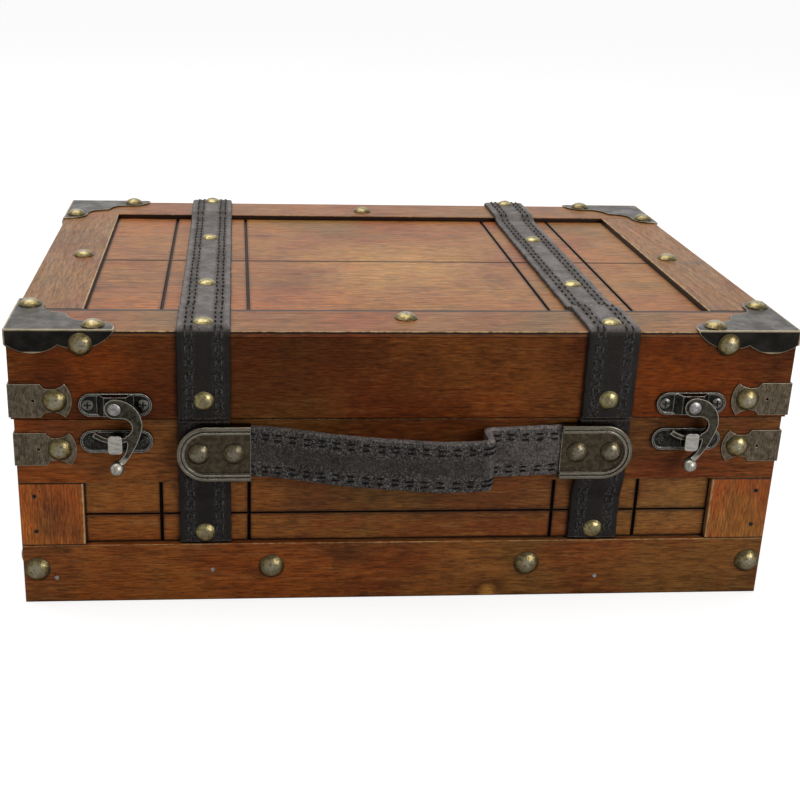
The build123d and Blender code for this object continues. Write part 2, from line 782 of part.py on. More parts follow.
# Screws of the latches and hinges
latch_screw = cross_head_screw(latch_plate)
hinge_screw = cross_head_screw(hinge_leaf)
for body, face_y, height in (("lid", -half_depth, pivot_height), ("base", base_front, keeper_height)):
    latch_screws = [front_face(side * latch_centre + x, face_y, height)
                    for side in (-1, 1) for x, z in screw_places]
    nail_group(((latch_screw, latch_screws), (hinge_screw, hinge_screws[body])), f"{body}_screws")

# Handle: a flat leather strap held at each end under a metal plate with two rivets. It
# bows out, creases near the right plate and turns straight back to the wall there.
handle_face = base_front - strap_thickness
handle_rest = handle_face - handle_thickness / 2
handle_out = base_front - handle_bow - handle_thickness / 2
handle_end = plate_inner_end + plate_length / 2
with BuildPart() as handle_strap:
    with BuildSketch(Plane.XY.offset(handle_height - handle_width / 2)):
        with BuildLine():
            FilletPolyline((-handle_end, handle_rest), (bow_start - plate_inner_end, handle_rest),
                           (-bow_turn, (handle_rest + handle_out) / 2), (bow_far, handle_out),
                           (crease_place, handle_out + crease_drop),
                           (crease_place, handle_rest), (handle_end, handle_rest),
                           radius=[bow_radius, bow_radius, bow_radius, crease_radius, crease_radius])
        trace(line_width=handle_thickness)
    extrude(amount=handle_width)
finish(handle_strap, "handle_strap")


def plate_outline(half):
    """A D: a straight end on the left and a half round on the right."""
    round_centre = plate_length - plate_height / 2
    with BuildSketch(mode=Mode.PRIVATE) as outline:
        with Locations((round_centre, 0)):
            Circle(half)
        Rectangle(round_centre, 2 * half, align=(Align.MIN, Align.CENTER))
    return outline.sketch


# Handle plates: shallow D-shaped caps over the ends of the handle, with a raised rim
# along the round side and an open straight end where the leather goes in
plate_depth = handle_thickness + plate_sheet
plate_front = handle_face - plate_depth
for side, name in sides:
    plate_plane = Plane(origin=(side * plate_inner_end, handle_face, handle_height),
                        x_dir=(side, 0, 0), z_dir=(0, -1, 0))
    with BuildPart() as plate:
        with BuildSketch(plate_plane):
            add(plate_outline(plate_height / 2))
        extrude(amount=plate_depth + plate_rim_height)
        outer_end = plate.faces().sort_by(Axis.Y)[0].outer_wire().edges()
        fillet(outer_end, radius=plate_rim_round)
        with BuildSketch(plate_plane.offset(plate_depth)):
            add(plate_outline(plate_height / 2 - plate_rim_width))
        extrude(amount=plate_rim_height, mode=Mode.SUBTRACT)
        with BuildSketch(plate_plane.offset(plate_depth + plate_rim_height)):
            add(plate_outline(plate_height / 2 - plate_rim_groove_in))
            add(plate_outline(plate_height / 2 - plate_rim_groove_in - plate_rim_groove),
                mode=Mode.SUBTRACT)
        extrude(amount=-plate_rim_groove_depth, mode=Mode.SUBTRACT)
        with BuildSketch(plate_plane):
            Rectangle(plate_length, handle_width, align=(Align.MIN, Align.CENTER))
        extrude(amount=handle_thickness, mode=Mode.SUBTRACT)
    finish(plate, f"handle_plate_{name}")

rivet_places = [front_face(side * (plate_inner_end + handle_rivet_inner + step), plate_front,
                           handle_height)
                for side in (-1, 1) for step in (0, handle_rivet_spacing)]
nail_group(((dome(handle_rivet_radius, handle_rivet_height), rivet_places),), "handle_rivets")
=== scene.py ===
from math import acos, cos, pi, radians, sin, tan

import bpy
from mathutils import Matrix, Vector, noise


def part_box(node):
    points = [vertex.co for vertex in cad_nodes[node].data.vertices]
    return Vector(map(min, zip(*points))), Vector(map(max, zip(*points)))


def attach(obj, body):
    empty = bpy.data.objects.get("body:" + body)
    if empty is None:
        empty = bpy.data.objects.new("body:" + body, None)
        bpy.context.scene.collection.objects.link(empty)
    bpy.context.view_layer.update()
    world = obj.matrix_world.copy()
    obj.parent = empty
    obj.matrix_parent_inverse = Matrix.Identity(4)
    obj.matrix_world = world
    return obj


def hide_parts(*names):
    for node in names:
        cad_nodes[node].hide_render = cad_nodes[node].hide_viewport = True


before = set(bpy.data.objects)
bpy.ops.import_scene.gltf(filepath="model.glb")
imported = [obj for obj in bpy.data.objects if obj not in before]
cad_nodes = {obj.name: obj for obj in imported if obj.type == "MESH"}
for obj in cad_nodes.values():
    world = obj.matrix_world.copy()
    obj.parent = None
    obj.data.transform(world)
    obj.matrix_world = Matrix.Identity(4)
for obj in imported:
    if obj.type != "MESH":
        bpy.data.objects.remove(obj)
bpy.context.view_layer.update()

bpy.ops.object.select_all(action="DESELECT")

# Lengths are in metres. X runs along the front, Y from the front to the back, Z up.
mm = 0.001
X, Y, Z = range(3)


# Camera, lights and floor

CAMERA_PLACE = Vector((-0.0720, -0.6230, 0.2871))
CAMERA_YAW = radians(4.92)
CAMERA_PITCH = radians(20.891)
CAMERA_ROLL = radians(1.623)
IMAGE_WIDTH = 800
FOCAL_PIXELS = 1287.59
CENTRE_X = 340
SENSOR = 36.0

# How bright the sky is in front of the box and behind it
SOFT_SKY = (0.1, 0.5)
MIRRORED_SKY = (0.38, 0.9)
FLOOR_GLOW = 0.78
MIRRORED_FLOOR_GLOW = 0.05


def add_camera():
    """The photograph's viewpoint. It looks a little to the right, and down on the box."""
    forward = Vector((sin(CAMERA_YAW) * cos(CAMERA_PITCH), cos(CAMERA_YAW) * cos(CAMERA_PITCH),
                      -sin(CAMERA_PITCH)))
    level = Vector((cos(CAMERA_YAW), -sin(CAMERA_YAW), 0))
    upright = level.cross(forward)
    right = cos(CAMERA_ROLL) * level + sin(CAMERA_ROLL) * upright
    up = cos(CAMERA_ROLL) * upright - sin(CAMERA_ROLL) * level
    turn = Matrix((right, up, -forward)).transposed().to_4x4()
    data = bpy.data.cameras.new("view")
    data.sensor_width = SENSOR
    data.lens = FOCAL_PIXELS / IMAGE_WIDTH * SENSOR
    data.shift_x = (IMAGE_WIDTH / 2 - CENTRE_X) / IMAGE_WIDTH
    camera = bpy.data.objects.new("view", data)
    camera.matrix_world = Matrix.Translation(CAMERA_PLACE) @ turn
    bpy.context.scene.collection.objects.link(camera)
    bpy.context.scene.camera = camera


def add_softbox(name, place, aim, size, power):
    """A large square lamp that points at aim."""
    data = bpy.data.lights.new(name, "AREA")
    data.size = size
    data.energy = power
    lamp = bpy.data.objects.new(name, data)
    lamp.location = place
    lamp.rotation_euler = (Vector(aim) - Vector(place)).to_track_quat("-Z", "Y").to_euler()
    bpy.context.scene.collection.objects.link(lamp)


def add_world():
    """A soft sky, dimmer in front of the box, brighter where metal mirrors it, and plain white
    to the camera."""
    world = bpy.data.worlds.new("studio")
    world.use_nodes = True
    bpy.context.scene.world = world
    nodes, links = world.node_tree.nodes, world.node_tree.links
    background = nodes["Background"]
    direction = nodes.new("ShaderNodeTexCoord")
    axes = nodes.new("ShaderNodeSeparateXYZ")
    links.new(direction.outputs["Generated"], axes.inputs[0])
    ray = nodes.new("ShaderNodeLightPath").outputs
    mirrored = nodes.new("ShaderNodeMath")
    mirrored.operation = "MAXIMUM"
    links.new(ray["Is Glossy Ray"], mirrored.inputs[0])
    links.new(ray["Is Transmission Ray"], mirrored.inputs[1])
    strengths = []
    for low, high in (SOFT_SKY, MIRRORED_SKY):
        level = nodes.new("ShaderNodeMapRange")
        level.interpolation_type = "SMOOTHSTEP"
        level.inputs["From Min"].default_value = -0.6
        level.inputs["From Max"].default_value = 0.5
        level.inputs["To Min"].default_value = low
        level.inputs["To Max"].default_value = high
        links.new(axes.outputs["Y"], level.inputs["Value"])
        strengths.append(level.outputs["Result"])
    strength, mirrored_strength = strengths
    for share, other in ((mirrored.outputs[0], mirrored_strength), (ray["Is Camera Ray"], None)):
        blend = nodes.new("ShaderNodeMix")
        links.new(share, blend.inputs[0])
        links.new(strength, blend.inputs[2])
        blend.inputs[3].default_value = 1.0
        if other:
            links.new(other, blend.inputs[3])
        strength = blend.outputs[0]
    links.new(strength, background.inputs["Strength"])
    background.inputs["Color"].default_value = (1, 1, 1, 1)


def add_floor():
    """A plain pale floor that keeps the box's soft shadow."""
    bpy.ops.mesh.primitive_plane_add(size=12)
    floor = bpy.context.object
    floor.name = "floor"
    paint = Finish("floor_paint")
    ray = paint.add("LightPath").outputs
    mirrored = paint.math("MAXIMUM", ray["Is Glossy Ray"], ray["Is Transmission Ray"])
    glow = paint.math("MULTIPLY", ray["Is Camera Ray"], FLOOR_GLOW)
    glow = paint.math("ADD", glow, paint.math("MULTIPLY", mirrored, MIRRORED_FLOOR_GLOW))
    paint.shade({"Base Color": (0.5, 0.5, 0.5, 1), "Roughness": 0.9,
                 "Specular IOR Level": 0.1, "Emission Color": (1, 1, 1, 1),
                 "Emission Strength": glow})
    floor.data.materials.append(paint.material)


# Node helpers

class Finish:
    """A material under construction, with short calls for the nodes that it needs."""

    def __init__(self, name):
        self.material = bpy.data.materials.new(name)
        self.material.use_nodes = True
        self.tree = self.material.node_tree
        self.shader = self.tree.nodes["Principled BSDF"]
        coordinates = self.add("TexCoord")
        self.place = coordinates.outputs["Object"]
        self.facing = coordinates.outputs["Normal"]
        self.strip = coordinates.outputs["UV"]

    def put(self, socket, value):
        """Links an output to a socket, or sets the socket's own value."""
        if isinstance(value, bpy.types.NodeSocket):
            self.tree.links.new(value, socket)
        else:
            socket.default_value = value

    def add(self, kind, inputs=None, **settings):
        """A new shader node with its settings and inputs."""
        made = self.tree.nodes.new("ShaderNode" + kind)
        for key, value in settings.items():
            setattr(made, key, value)
        for key, value in (inputs or {}).items():
            self.put(made.inputs[key], value)
        return made

    def math(self, operation, first, second=0.0):
        return self.add("Math", {0: first, 1: second}, operation=operation).outputs[0]

    def vector(self, operation, first, second=(0, 0, 0)):
        return self.add("VectorMath", {0: first, 1: second}, operation=operation).outputs[0]

    def parts(self, vector):
        """The X, Y and Z parts of a place or a direction."""
        return self.add("SeparateXYZ", {0: vector}).outputs

    def stretched(self, scale, shift=(0, 0, 0), turn=(0, 0, 0)):
        """The place on the piece, scaled by axis, then turned and shifted to another part of a
        pattern."""
        return self.add("Mapping", {"Vector": self.place, "Scale": scale, "Location": shift,
                                    "Rotation": turn}).outputs[0]

    def noise(self, where, scale, detail=4.0, rough=0.55, distortion=0.0):
        texture = self.add("TexNoise", {"Vector": where, "Scale": scale, "Detail": detail,
                                        "Roughness": rough, "Distortion": distortion})
        return texture.outputs["Fac"]

    def step(self, value, low, high, to_low=0.0, to_high=1.0):
        """A soft step from to_low at low to to_high at high."""
        return self.add("MapRange", {"Value": value, "From Min": low, "From Max": high,
                                     "To Min": to_low, "To Max": to_high},
                        interpolation_type="SMOOTHSTEP").outputs["Result"]

    def mix(self, share, first, second):
        """The second colour laid over the first, by its share."""
        made = self.add("Mix", data_type="RGBA")
        self.put(made.inputs[0], share)
        self.put(made.inputs[6], first)
        self.put(made.inputs[7], second)
        return made.outputs[2]

    def bump(self, height, distance, strength=1.0, normal=None):
        made = self.add("Bump", {"Height": height, "Distance": distance, "Strength": strength})
        if normal is not None:
            self.put(made.inputs["Normal"], normal)
        return made.outputs["Normal"]

    def corner(self, radius):
        """1 at the sharp edges of a piece and 0 on its flats."""
        rounded = self.add("Bevel", {"Radius": radius}, samples=6).outputs["Normal"]
        flat = self.add("NewGeometry").outputs["Normal"]
        same = self.add("VectorMath", {0: rounded, 1: flat}, operation="DOT_PRODUCT").outputs["Value"]
        return self.step(same, 0.995, 0.86)

    def painted_shade_mask(self, reach):
        """1 in grooves and corners that are nearer than reach to something, 0 in the open: where the
        finishes paint shade.
        """
        open_sky = self.add("AmbientOcclusion", {"Distance": reach}, samples=6).outputs["AO"]
        return self.step(open_sky, 0.8, 0.3)

    def shade(self, inputs):
        for key, value in inputs.items():
            self.put(self.shader.inputs[key], value)


def grey(level):
    return (level, level, level, 1)


# Wood

DARK_STAIN = (0.075, 0.02, 0.007, 1)
BROWN_STAIN = (0.17, 0.05, 0.012, 1)
RED_STAIN = (0.3, 0.068, 0.012, 1)
AMBER_STAIN = (0.36, 0.125, 0.025, 1)
OLIVE_STAIN = (0.2, 0.1, 0.022, 1)
GLOWING_STAIN = (0.5, 0.115, 0.013, 1)
HONEY_STAIN = (0.56, 0.27, 0.08, 1)
BARE_WOOD = (0.72, 0.52, 0.27, 1)
SMUDGE = (0.022, 0.012, 0.008, 1)
PALE_DUST = (0.6, 0.53, 0.43, 1)
KNOT = (0.62, 0.26, 0.05, 1)
# Near black for the dark joints, and for the painted shade and shadow in grooves, recesses and
# crevices.
JOINT_AND_SHADE_BLACK = (0.008, 0.005, 0.004, 1)
# Painted shade on the upright sides of the frame boards: darker and redder.
SIDE_SHADE_TINT = (0.8, 0.6, 0.55)
ALONG = ((0.07, 1, 1), (1, 0.07, 1), (1, 1, 0.07))
FINE_PORES = 1500
TOP_PORES = 1250

END_BLOCK = 27 * mm
END_LINE = 0.8 * mm
# Width of the painted shade band along the back of the front rail's top
SHADED_EDGE = 3.2 * mm
GROOVE_DEPTH = 1.2 * mm
OUTWARD = {"front": (0, -1, 0), "back": (0, 1, 0), "left": (-1, 0, 0), "right": (1, 0, 0)}
FRONT_GROOVES = (66.7 * mm, 104.3 * mm)
END_GROOVE_IN = 35.5 * mm
LONG_GROOVE_HEIGHT = 41 * mm


def inward_distances(finish, low, high):
    """How far a point is inside a box, along each axis."""
    away = finish.vector("ABSOLUTE", finish.vector("SUBTRACT", finish.place, (low + high) / 2))
    return finish.parts(finish.vector("SUBTRACT", (high - low) / 2, away))


def edge_distance(finish, node, grain=None, pair_axis=None):
    """How far a point on a piece is from the nearest edge of its box. With grain, only the edges
    along that axis count. With pair_axis, the node is two blocks of width END_BLOCK at the ends
    of that axis, and their facing edges count most."""
    low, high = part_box(node)
    inward = inward_distances(finish, low, high)
    if pair_axis is not None:
        across = finish.math("SUBTRACT", END_BLOCK, inward[pair_axis])
        upright = finish.math("MULTIPLY", inward[Z], 3.0)
        return finish.math("MAXIMUM", finish.math("MINIMUM", across, upright), inward[1 - pair_axis])
    if grain is not None:
        first, second = (axis for axis in (X, Y, Z) if axis != grain)
        return finish.math("MAXIMUM", inward[first], inward[second])
    lower = finish.math("MINIMUM", inward[X], inward[Y])
    upper = finish.math("MAXIMUM", inward[X], inward[Y])
    return finish.math("MAXIMUM", lower, finish.math("MINIMUM", upper, inward[Z]))


def depth_below(finish, node, outside):
    """How far a point is below the outer face of a board. The face looks along outside."""
    low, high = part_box(node)
    axis = max(range(3), key=lambda index: abs(outside[index]))
    face = high[axis] if outside[axis] > 0 else low[axis]
    along = finish.parts(finish.place)[axis]
    return finish.math("MULTIPLY", finish.math("SUBTRACT", face, along), outside[axis])


def shade_in_grooves(finish, depth, on_floor):
    """1 on the sides of the scored grooves of a board, and on_floor on their floors: where shade is
    painted in them.
    """
    opened = finish.step(depth, 0.04 * mm, 0.3 * mm)
    ended = finish.step(depth, GROOVE_DEPTH + 0.1 * mm, GROOVE_DEPTH + 0.2 * mm, 1, 0)
    floor = finish.step(depth, GROOVE_DEPTH - 0.25 * mm, GROOVE_DEPTH - 0.1 * mm, 0.97, on_floor)
    return finish.math("MULTIPLY", finish.math("MULTIPLY", opened, ended), floor)


def panel_shadow(finish, opening, long_axis, cross_axis, grooves):
    """1 where shadow is painted on a panel: beside the rim of the frame's opening and
    beside its scored lines. The opening is a box, and grooves are the distances of the short
    lines from its middle, with the height of the long one."""
    low, high = opening
    inward = inward_distances(finish, low, high)
    rim = finish.math("MINIMUM", inward[long_axis], inward[cross_axis])
    short_lines, long_line = grooves
    half = (high - low)[long_axis] / 2
    away = finish.math("ABSOLUTE", finish.math("SUBTRACT", half, inward[long_axis]))
    across = finish.parts(finish.place)[cross_axis]
    near = finish.math("ABSOLUTE", finish.math("SUBTRACT", across, long_line))
    for line in short_lines:
        to_line = finish.math("ABSOLUTE", finish.math("SUBTRACT", away, line))
        near = finish.math("MINIMUM", near, to_line)
    wobble = finish.math("SUBTRACT", finish.noise(finish.place, 260, 3), 0.5)
    uneven = finish.math("MULTIPLY", wobble, 2 * mm)
    by_line = finish.step(finish.math("ADD", near, uneven), 2.2 * mm, 0.6 * mm, 0, 0.5)
    by_rim = finish.step(finish.math("ADD", rim, finish.math("MULTIPLY", uneven, 0.5)),
                         1.5 * mm, 0.4 * mm, 0, 0.92)
    return finish.math("MAXIMUM", by_line, by_rim)


def oval_spot(finish, centre, reach):
    """1 in the middle of an oval spot on a board, fading to 0 at its ragged rim."""
    away = finish.vector("DIVIDE", finish.vector("SUBTRACT", finish.place, centre), reach)
    far = finish.add("VectorMath", {0: away}, operation="LENGTH").outputs["Value"]
    ragged = finish.math("ADD", far, finish.noise(finish.place, 160, 3))
    return finish.step(ragged, 1.35, 0.6)


def stain_and_grain(wood, grain, shift, tone, figure, glow):
    """The stained colour of a board before any wear: streaks along its grain, clouds of olive and
    orange, smudges and specks. Its coarse and fine grain come back too, for the relief."""
    along = wood.stretched(ALONG[grain], shift)
    loose = wood.stretched((1, 1, 1), shift)
    elsewhere = wood.stretched((1, 1, 1), (shift[1], shift[2], shift[0]))
    broad = wood.noise(along, 30, detail=4, rough=0.6, distortion=0.8)
    cloud = wood.noise(loose, 14, detail=5, rough=0.62)
    drift = wood.noise(elsewhere, 11, detail=4)
    streak = wood.noise(along, 520, detail=7, rough=0.68, distortion=0.5)
    fine = wood.noise(along, 1900, detail=3, rough=0.6)
    blotch = wood.noise(loose, 34, detail=8, rough=0.68)
    specks = wood.noise(loose, 700, detail=1)
    colour = wood.mix(wood.step(broad, 0.34 - tone, 0.68 - tone), BROWN_STAIN, RED_STAIN)
    for share, paint in ((wood.step(cloud, 0.42 - tone, 0.66 - tone), AMBER_STAIN),
                         (wood.step(drift, 0.53, 0.66, 0, 0.6), OLIVE_STAIN),
                         (wood.step(drift, 0.46, 0.33, 0, glow), GLOWING_STAIN),
                         (wood.step(streak, 0.48, 0.28, 0, 0.35 * figure), HONEY_STAIN),
                         (wood.step(streak, 0.5, 0.74, 0, 0.6 * figure), DARK_STAIN),
                         (wood.step(fine, 0.55, 0.72, 0, 0.6 * figure), DARK_STAIN),
                         (wood.step(blotch, 0.54, 0.74, 0, 0.5), SMUDGE),
                         (wood.step(specks, 0.76, 0.8, 0, 0.7), SMUDGE),
                         (wood.step(specks, 0.16, 0.13, 0, 0.8), PALE_DUST)):
        colour = wood.mix(share, colour, paint)
    return colour, streak, fine


def open_pores(wood, colour, grain, shift, pore):
    """Short fibres along the grain, lighter and darker. A higher pore makes them finer."""
    fibres = wood.stretched([0.11 if axis == grain else 1 for axis in (X, Y, Z)], shift)
    pores = wood.noise(fibres, pore, detail=3, rough=0.75)
    return wood.vector("MULTIPLY", colour, wood.step(pores, 0.32, 0.68, 0.56, 1.44))


def frame_side(wood, colour, below, shaded_depth):
    """The upright sides of a frame board, with painted shade: darker and redder, and near black from
    the top down to the given depth.
    """
    up = wood.math("ABSOLUTE", wood.parts(wood.facing)[Z])
    side = wood.step(up, 0.6, 0.4)
    colour = wood.mix(side, colour, wood.vector("MULTIPLY", colour, SIDE_SHADE_TINT))
    shade_band = wood.step(below, shaded_depth, shaded_depth * 0.8, 0, 0.93)
    return wood.mix(wood.math("MULTIPLY", side, shade_band), colour, JOINT_AND_SHADE_BLACK)


def rubbed_edges(wood, colour, distance, wear, bare):
    """Edges rubbed lighter over about the width wear, down to bare wood by the share bare."""
    uneven = wood.math("SUBTRACT", wood.noise(wood.place, 420, 4), 0.5)
    ragged = wood.math("MULTIPLY", uneven, wear * 1.8)
    rubbed = wood.step(wood.math("ADD", distance, ragged), wear, wear * 0.3)
    patches = wood.step(wood.noise(wood.place, 40, 3), 0.34, 0.6, bare, 1)
    return wood.mix(wood.math("MULTIPLY", rubbed, patches), colour,
                    wood.mix(bare, HONEY_STAIN, BARE_WOOD))


def stained_wood(node, grain, seed, tone=0.0, hue_and_light=(1.0, 1.0, 1.0), figure=1.0, glow=0.75,
                 pore=FINE_PORES, wear=0.35 * mm, bare=0.25, gloss=0.3, spots=(), pair_axis=None,
                 outward=None, shade_strength=0.97, panel=None, shaded_sides=False,
                 shaded_depth=3 * mm, end_lines=False, shaded_back_edge=False):
    """Stained and varnished board. A higher tone is more amber, its hue and light factor scales its
    colour both for its hue and as painted light, figure says how strong the grain shows and glow
    how orange its clouds are. Each spot is a place, its reach, its colour and its share. A scored
    board has its outward direction, the strength of the painted shade on the floors of its grooves
    and in its crevices, and the panel that it fills, with painted shadow beside its grooves and
    frame. Frame boards can get painted shade on their upright sides. End lines are dark joints at
    both ends of the grain, and the band along the back of the top is painted shade."""
    wood = Finish(node + "_wood")
    low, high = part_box(node)
    place = wood.parts(wood.place)
    shift = (seed * 0.37, seed * 0.61, seed * 0.23)
    colour, streak, fine = stain_and_grain(wood, grain, shift, tone, figure, glow)
    for centre, reach, paint, share in spots:
        inside = wood.math("MULTIPLY", oval_spot(wood, centre, reach), share)
        colour = wood.mix(inside, colour, paint)
    colour = open_pores(wood, colour, grain, shift, pore)
    # Painted light: this factor also sets each board's hue, and makes the lid's walls darker and the
    # end blocks lighter than the rest.
    colour = wood.vector("MULTIPLY", colour, hue_and_light)
    distance = edge_distance(wood, node, grain, pair_axis)
    # Painted shade on the upright sides of frame boards.
    if shaded_sides:
        below = wood.math("SUBTRACT", high.z, place[Z])
        colour = frame_side(wood, colour, below, shaded_depth)
        distance = wood.math("MAXIMUM", distance, below)
    if wear:
        colour = rubbed_edges(wood, colour, distance, wear, bare)
    if end_lines:
        to_end = inward_distances(wood, low, high)[grain]
        colour = wood.mix(wood.step(to_end, END_LINE, END_LINE * 0.375, 0, 0.85), colour, JOINT_AND_SHADE_BLACK)
    # Painted shade: a near-black band along the back of the top, beside the shaded recess.
    if shaded_back_edge:
        to_edge = wood.math("SUBTRACT", high.y, place[Y])
        shade_band = wood.step(to_edge, SHADED_EDGE, SHADED_EDGE * 0.75, 0, 0.92)
        colour = wood.mix(shade_band, colour, JOINT_AND_SHADE_BLACK)
    roughness = wood.step(streak, 0.3, 0.8, 0.34, 0.52)
    if outward is not None:
        depth = depth_below(wood, node, outward)
        outside = wood.step(depth, GROOVE_DEPTH + 0.2 * mm, GROOVE_DEPTH + 0.4 * mm, 1, 0)
        # Painted shadow beside the scored lines and along the rim of the frame's opening.
        painted_shadow = wood.math("MULTIPLY", panel_shadow(wood, *panel), outside)
        colour = wood.mix(painted_shadow, colour, JOINT_AND_SHADE_BLACK)
        # Painted shade: the scored grooves darkened to near black, on their floors by the given
        # strength.
        groove_shade = shade_in_grooves(wood, depth, shade_strength)
        colour = wood.mix(groove_shade, colour, JOINT_AND_SHADE_BLACK)
        roughness = wood.math("MAXIMUM", roughness, groove_shade)
    # Painted shade: near black where ambient occlusion finds crevices, joints and the seam, by the
    # given strength.
    occlusion_shade = wood.painted_shade_mask(2.5 * mm)
    colour = wood.mix(wood.math("MULTIPLY", occlusion_shade, shade_strength * 0.95), colour, JOINT_AND_SHADE_BLACK)
    ridges = wood.math("ADD", wood.math("MULTIPLY", streak, 0.7), wood.math("MULTIPLY", fine, -0.5))
    rounded = wood.add("Bevel", {"Radius": 0.5 * mm}, samples=4).outputs["Normal"]
    wood.shade({"Base Color": colour, "Roughness": roughness, "Specular IOR Level": gloss,
                "Normal": wood.bump(ridges, 0.05 * mm, 0.7, rounded)})
    return wood.material


# Metal

# Colours of old metal where it is dark, worn and rubbed bright
CORNER_STEEL = ((0.07, 0.063, 0.055, 1), (0.13, 0.115, 0.1, 1), (0.6, 0.5, 0.33, 1))
CLIP_BRONZE = ((0.07, 0.054, 0.036, 1), (0.31, 0.25, 0.17, 1), (0.55, 0.47, 0.34, 1))
LATCH_NICKEL = ((0.02, 0.019, 0.016, 1), (0.055, 0.052, 0.044, 1), (0.7, 0.67, 0.6, 1))
HANDLE_BRONZE = ((0.065, 0.05, 0.032, 1), (0.13, 0.1, 0.065, 1), (0.62, 0.57, 0.46, 1))
HINGE_BRONZE = ((0.04, 0.035, 0.025, 1), (0.12, 0.105, 0.075, 1), (0.4, 0.37, 0.28, 1))
RIVET_SILVER = ((0.3, 0.29, 0.28, 1), (0.62, 0.6, 0.58, 1), (0.8, 0.78, 0.75, 1))
SCREW_IRON = ((0.02, 0.02, 0.019, 1), (0.07, 0.068, 0.06, 1), (0.3, 0.29, 0.26, 1))
SLOTTED_IRON = ((0.006, 0.006, 0.006, 1), (0.02, 0.02, 0.018, 1), (0.24, 0.23, 0.2, 1))
HOOK_NICKEL = ((0.035, 0.031, 0.023, 1), (0.11, 0.1, 0.075, 1), (0.78, 0.74, 0.64, 1))

KNOB_HEIGHT = 6.2 * mm

# Colours of a domed head in its middle, round it and at its rim; the middle and rim colours are
# painted reflection, and the rim colour also makes the tarnish spots
NAIL_BRASS = ((0.44, 0.39, 0.27, 1), (0.36, 0.28, 0.12, 1), (0.09, 0.07, 0.035, 1))
STRAP_NAIL_BRASS = ((0.33, 0.28, 0.16, 1), (0.5, 0.42, 0.2, 1), (0.14, 0.11, 0.05, 1))
RIVET_BRASS = ((0.29, 0.25, 0.18, 1), (0.15, 0.12, 0.07, 1), (0.05, 0.04, 0.025, 1))


def aged_metal(name, colours, roughness, mottle=700, spread=(0.38, 0.66), node=None, fold=0.0,
               raised=0.0, bared=1.0, streaks=0.0, edge=0.5 * mm, dent=1.0, upright=1.0):
    """Old plated metal: painted shade in the hollows, mottled between dark and worn, and rubbed bright
    along its edges. With a node, its outer folds are rubbed bright over the width fold, and
    what stands within the height raised of its front is bright too, by the share bared.
    Streaks is the share of slanting brush marks, dent the depth of its dents, and upright how
    pale its upright faces are: below 1, a painted reflection that darkens them."""
    dark, worn, bright = colours
    metal = Finish(name)
    spots = metal.noise(metal.place, mottle, detail=6, rough=0.62)
    slanting = metal.stretched((1, 1, 0.12), turn=(0, radians(40), 0))
    brushed = metal.noise(slanting, 3000, detail=4, rough=0.7)
    scratched = metal.noise(metal.stretched((0.25, 0.25, 1)), 900, detail=5, rough=0.7)
    patina = metal.math("ADD", metal.math("MULTIPLY", spots, 1 - streaks),
                        metal.math("MULTIPLY", brushed, streaks))
    colour = metal.mix(metal.step(patina, *spread), dark, worn)
    level = metal.math("ABSOLUTE", metal.parts(metal.facing)[Z])
    # Painted reflection: upright faces darkened by the share upright.
    colour = metal.vector("MULTIPLY", colour, metal.step(level, 0.4, 0.7, upright, 1))
    rub = metal.math("MULTIPLY", metal.corner(edge), metal.step(spots, 0.3, 0.5, 0.6, 1))
    if fold:
        near = metal.step(edge_distance(metal, node), fold, fold * 0.35)
        near = metal.math("MULTIPLY", near, metal.step(scratched, 0.3, 0.55, 0.45, 1))
        rub = metal.math("MAXIMUM", rub, near)
    shine = roughness
    if raised:
        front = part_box(node)[0].y
        forward = metal.parts(metal.place)[Y]
        stands = metal.step(forward, front + raised, front + raised * 0.8)
        shine = metal.step(stands, 0, 1, roughness, roughness * 0.6)
        stands = metal.math("MULTIPLY", stands, metal.step(scratched, 0.3, 0.6, 0.5 * bared, bared))
        rub = metal.math("MAXIMUM", rub, stands)
    colour = metal.mix(rub, colour, bright)
    # Painted shade: near black in the hollows and where the metal meets other parts.
    colour = metal.mix(metal.math("MULTIPLY", metal.painted_shade_mask(1.4 * mm), 0.85), colour, grey(0.008))
    dents = metal.math("MULTIPLY", metal.noise(metal.place, 380, detail=3), dent)
    relief = metal.math("ADD", dents, metal.math("MULTIPLY", brushed, 0.15))
    relief = metal.math("ADD", relief, metal.math("MULTIPLY", scratched, 0.1))
    rounded = metal.add("Bevel", {"Radius": 0.35 * mm}, samples=4).outputs["Normal"]
    uneven = metal.step(spots, 0.3, 0.7, 0.1, -0.06)
    metal.shade({"Base Color": colour, "Metallic": 1.0, "Roughness": metal.math("ADD", uneven, shine),
                 "Normal": metal.bump(relief, 0.2 * mm, 0.5, rounded)})
    return metal.material


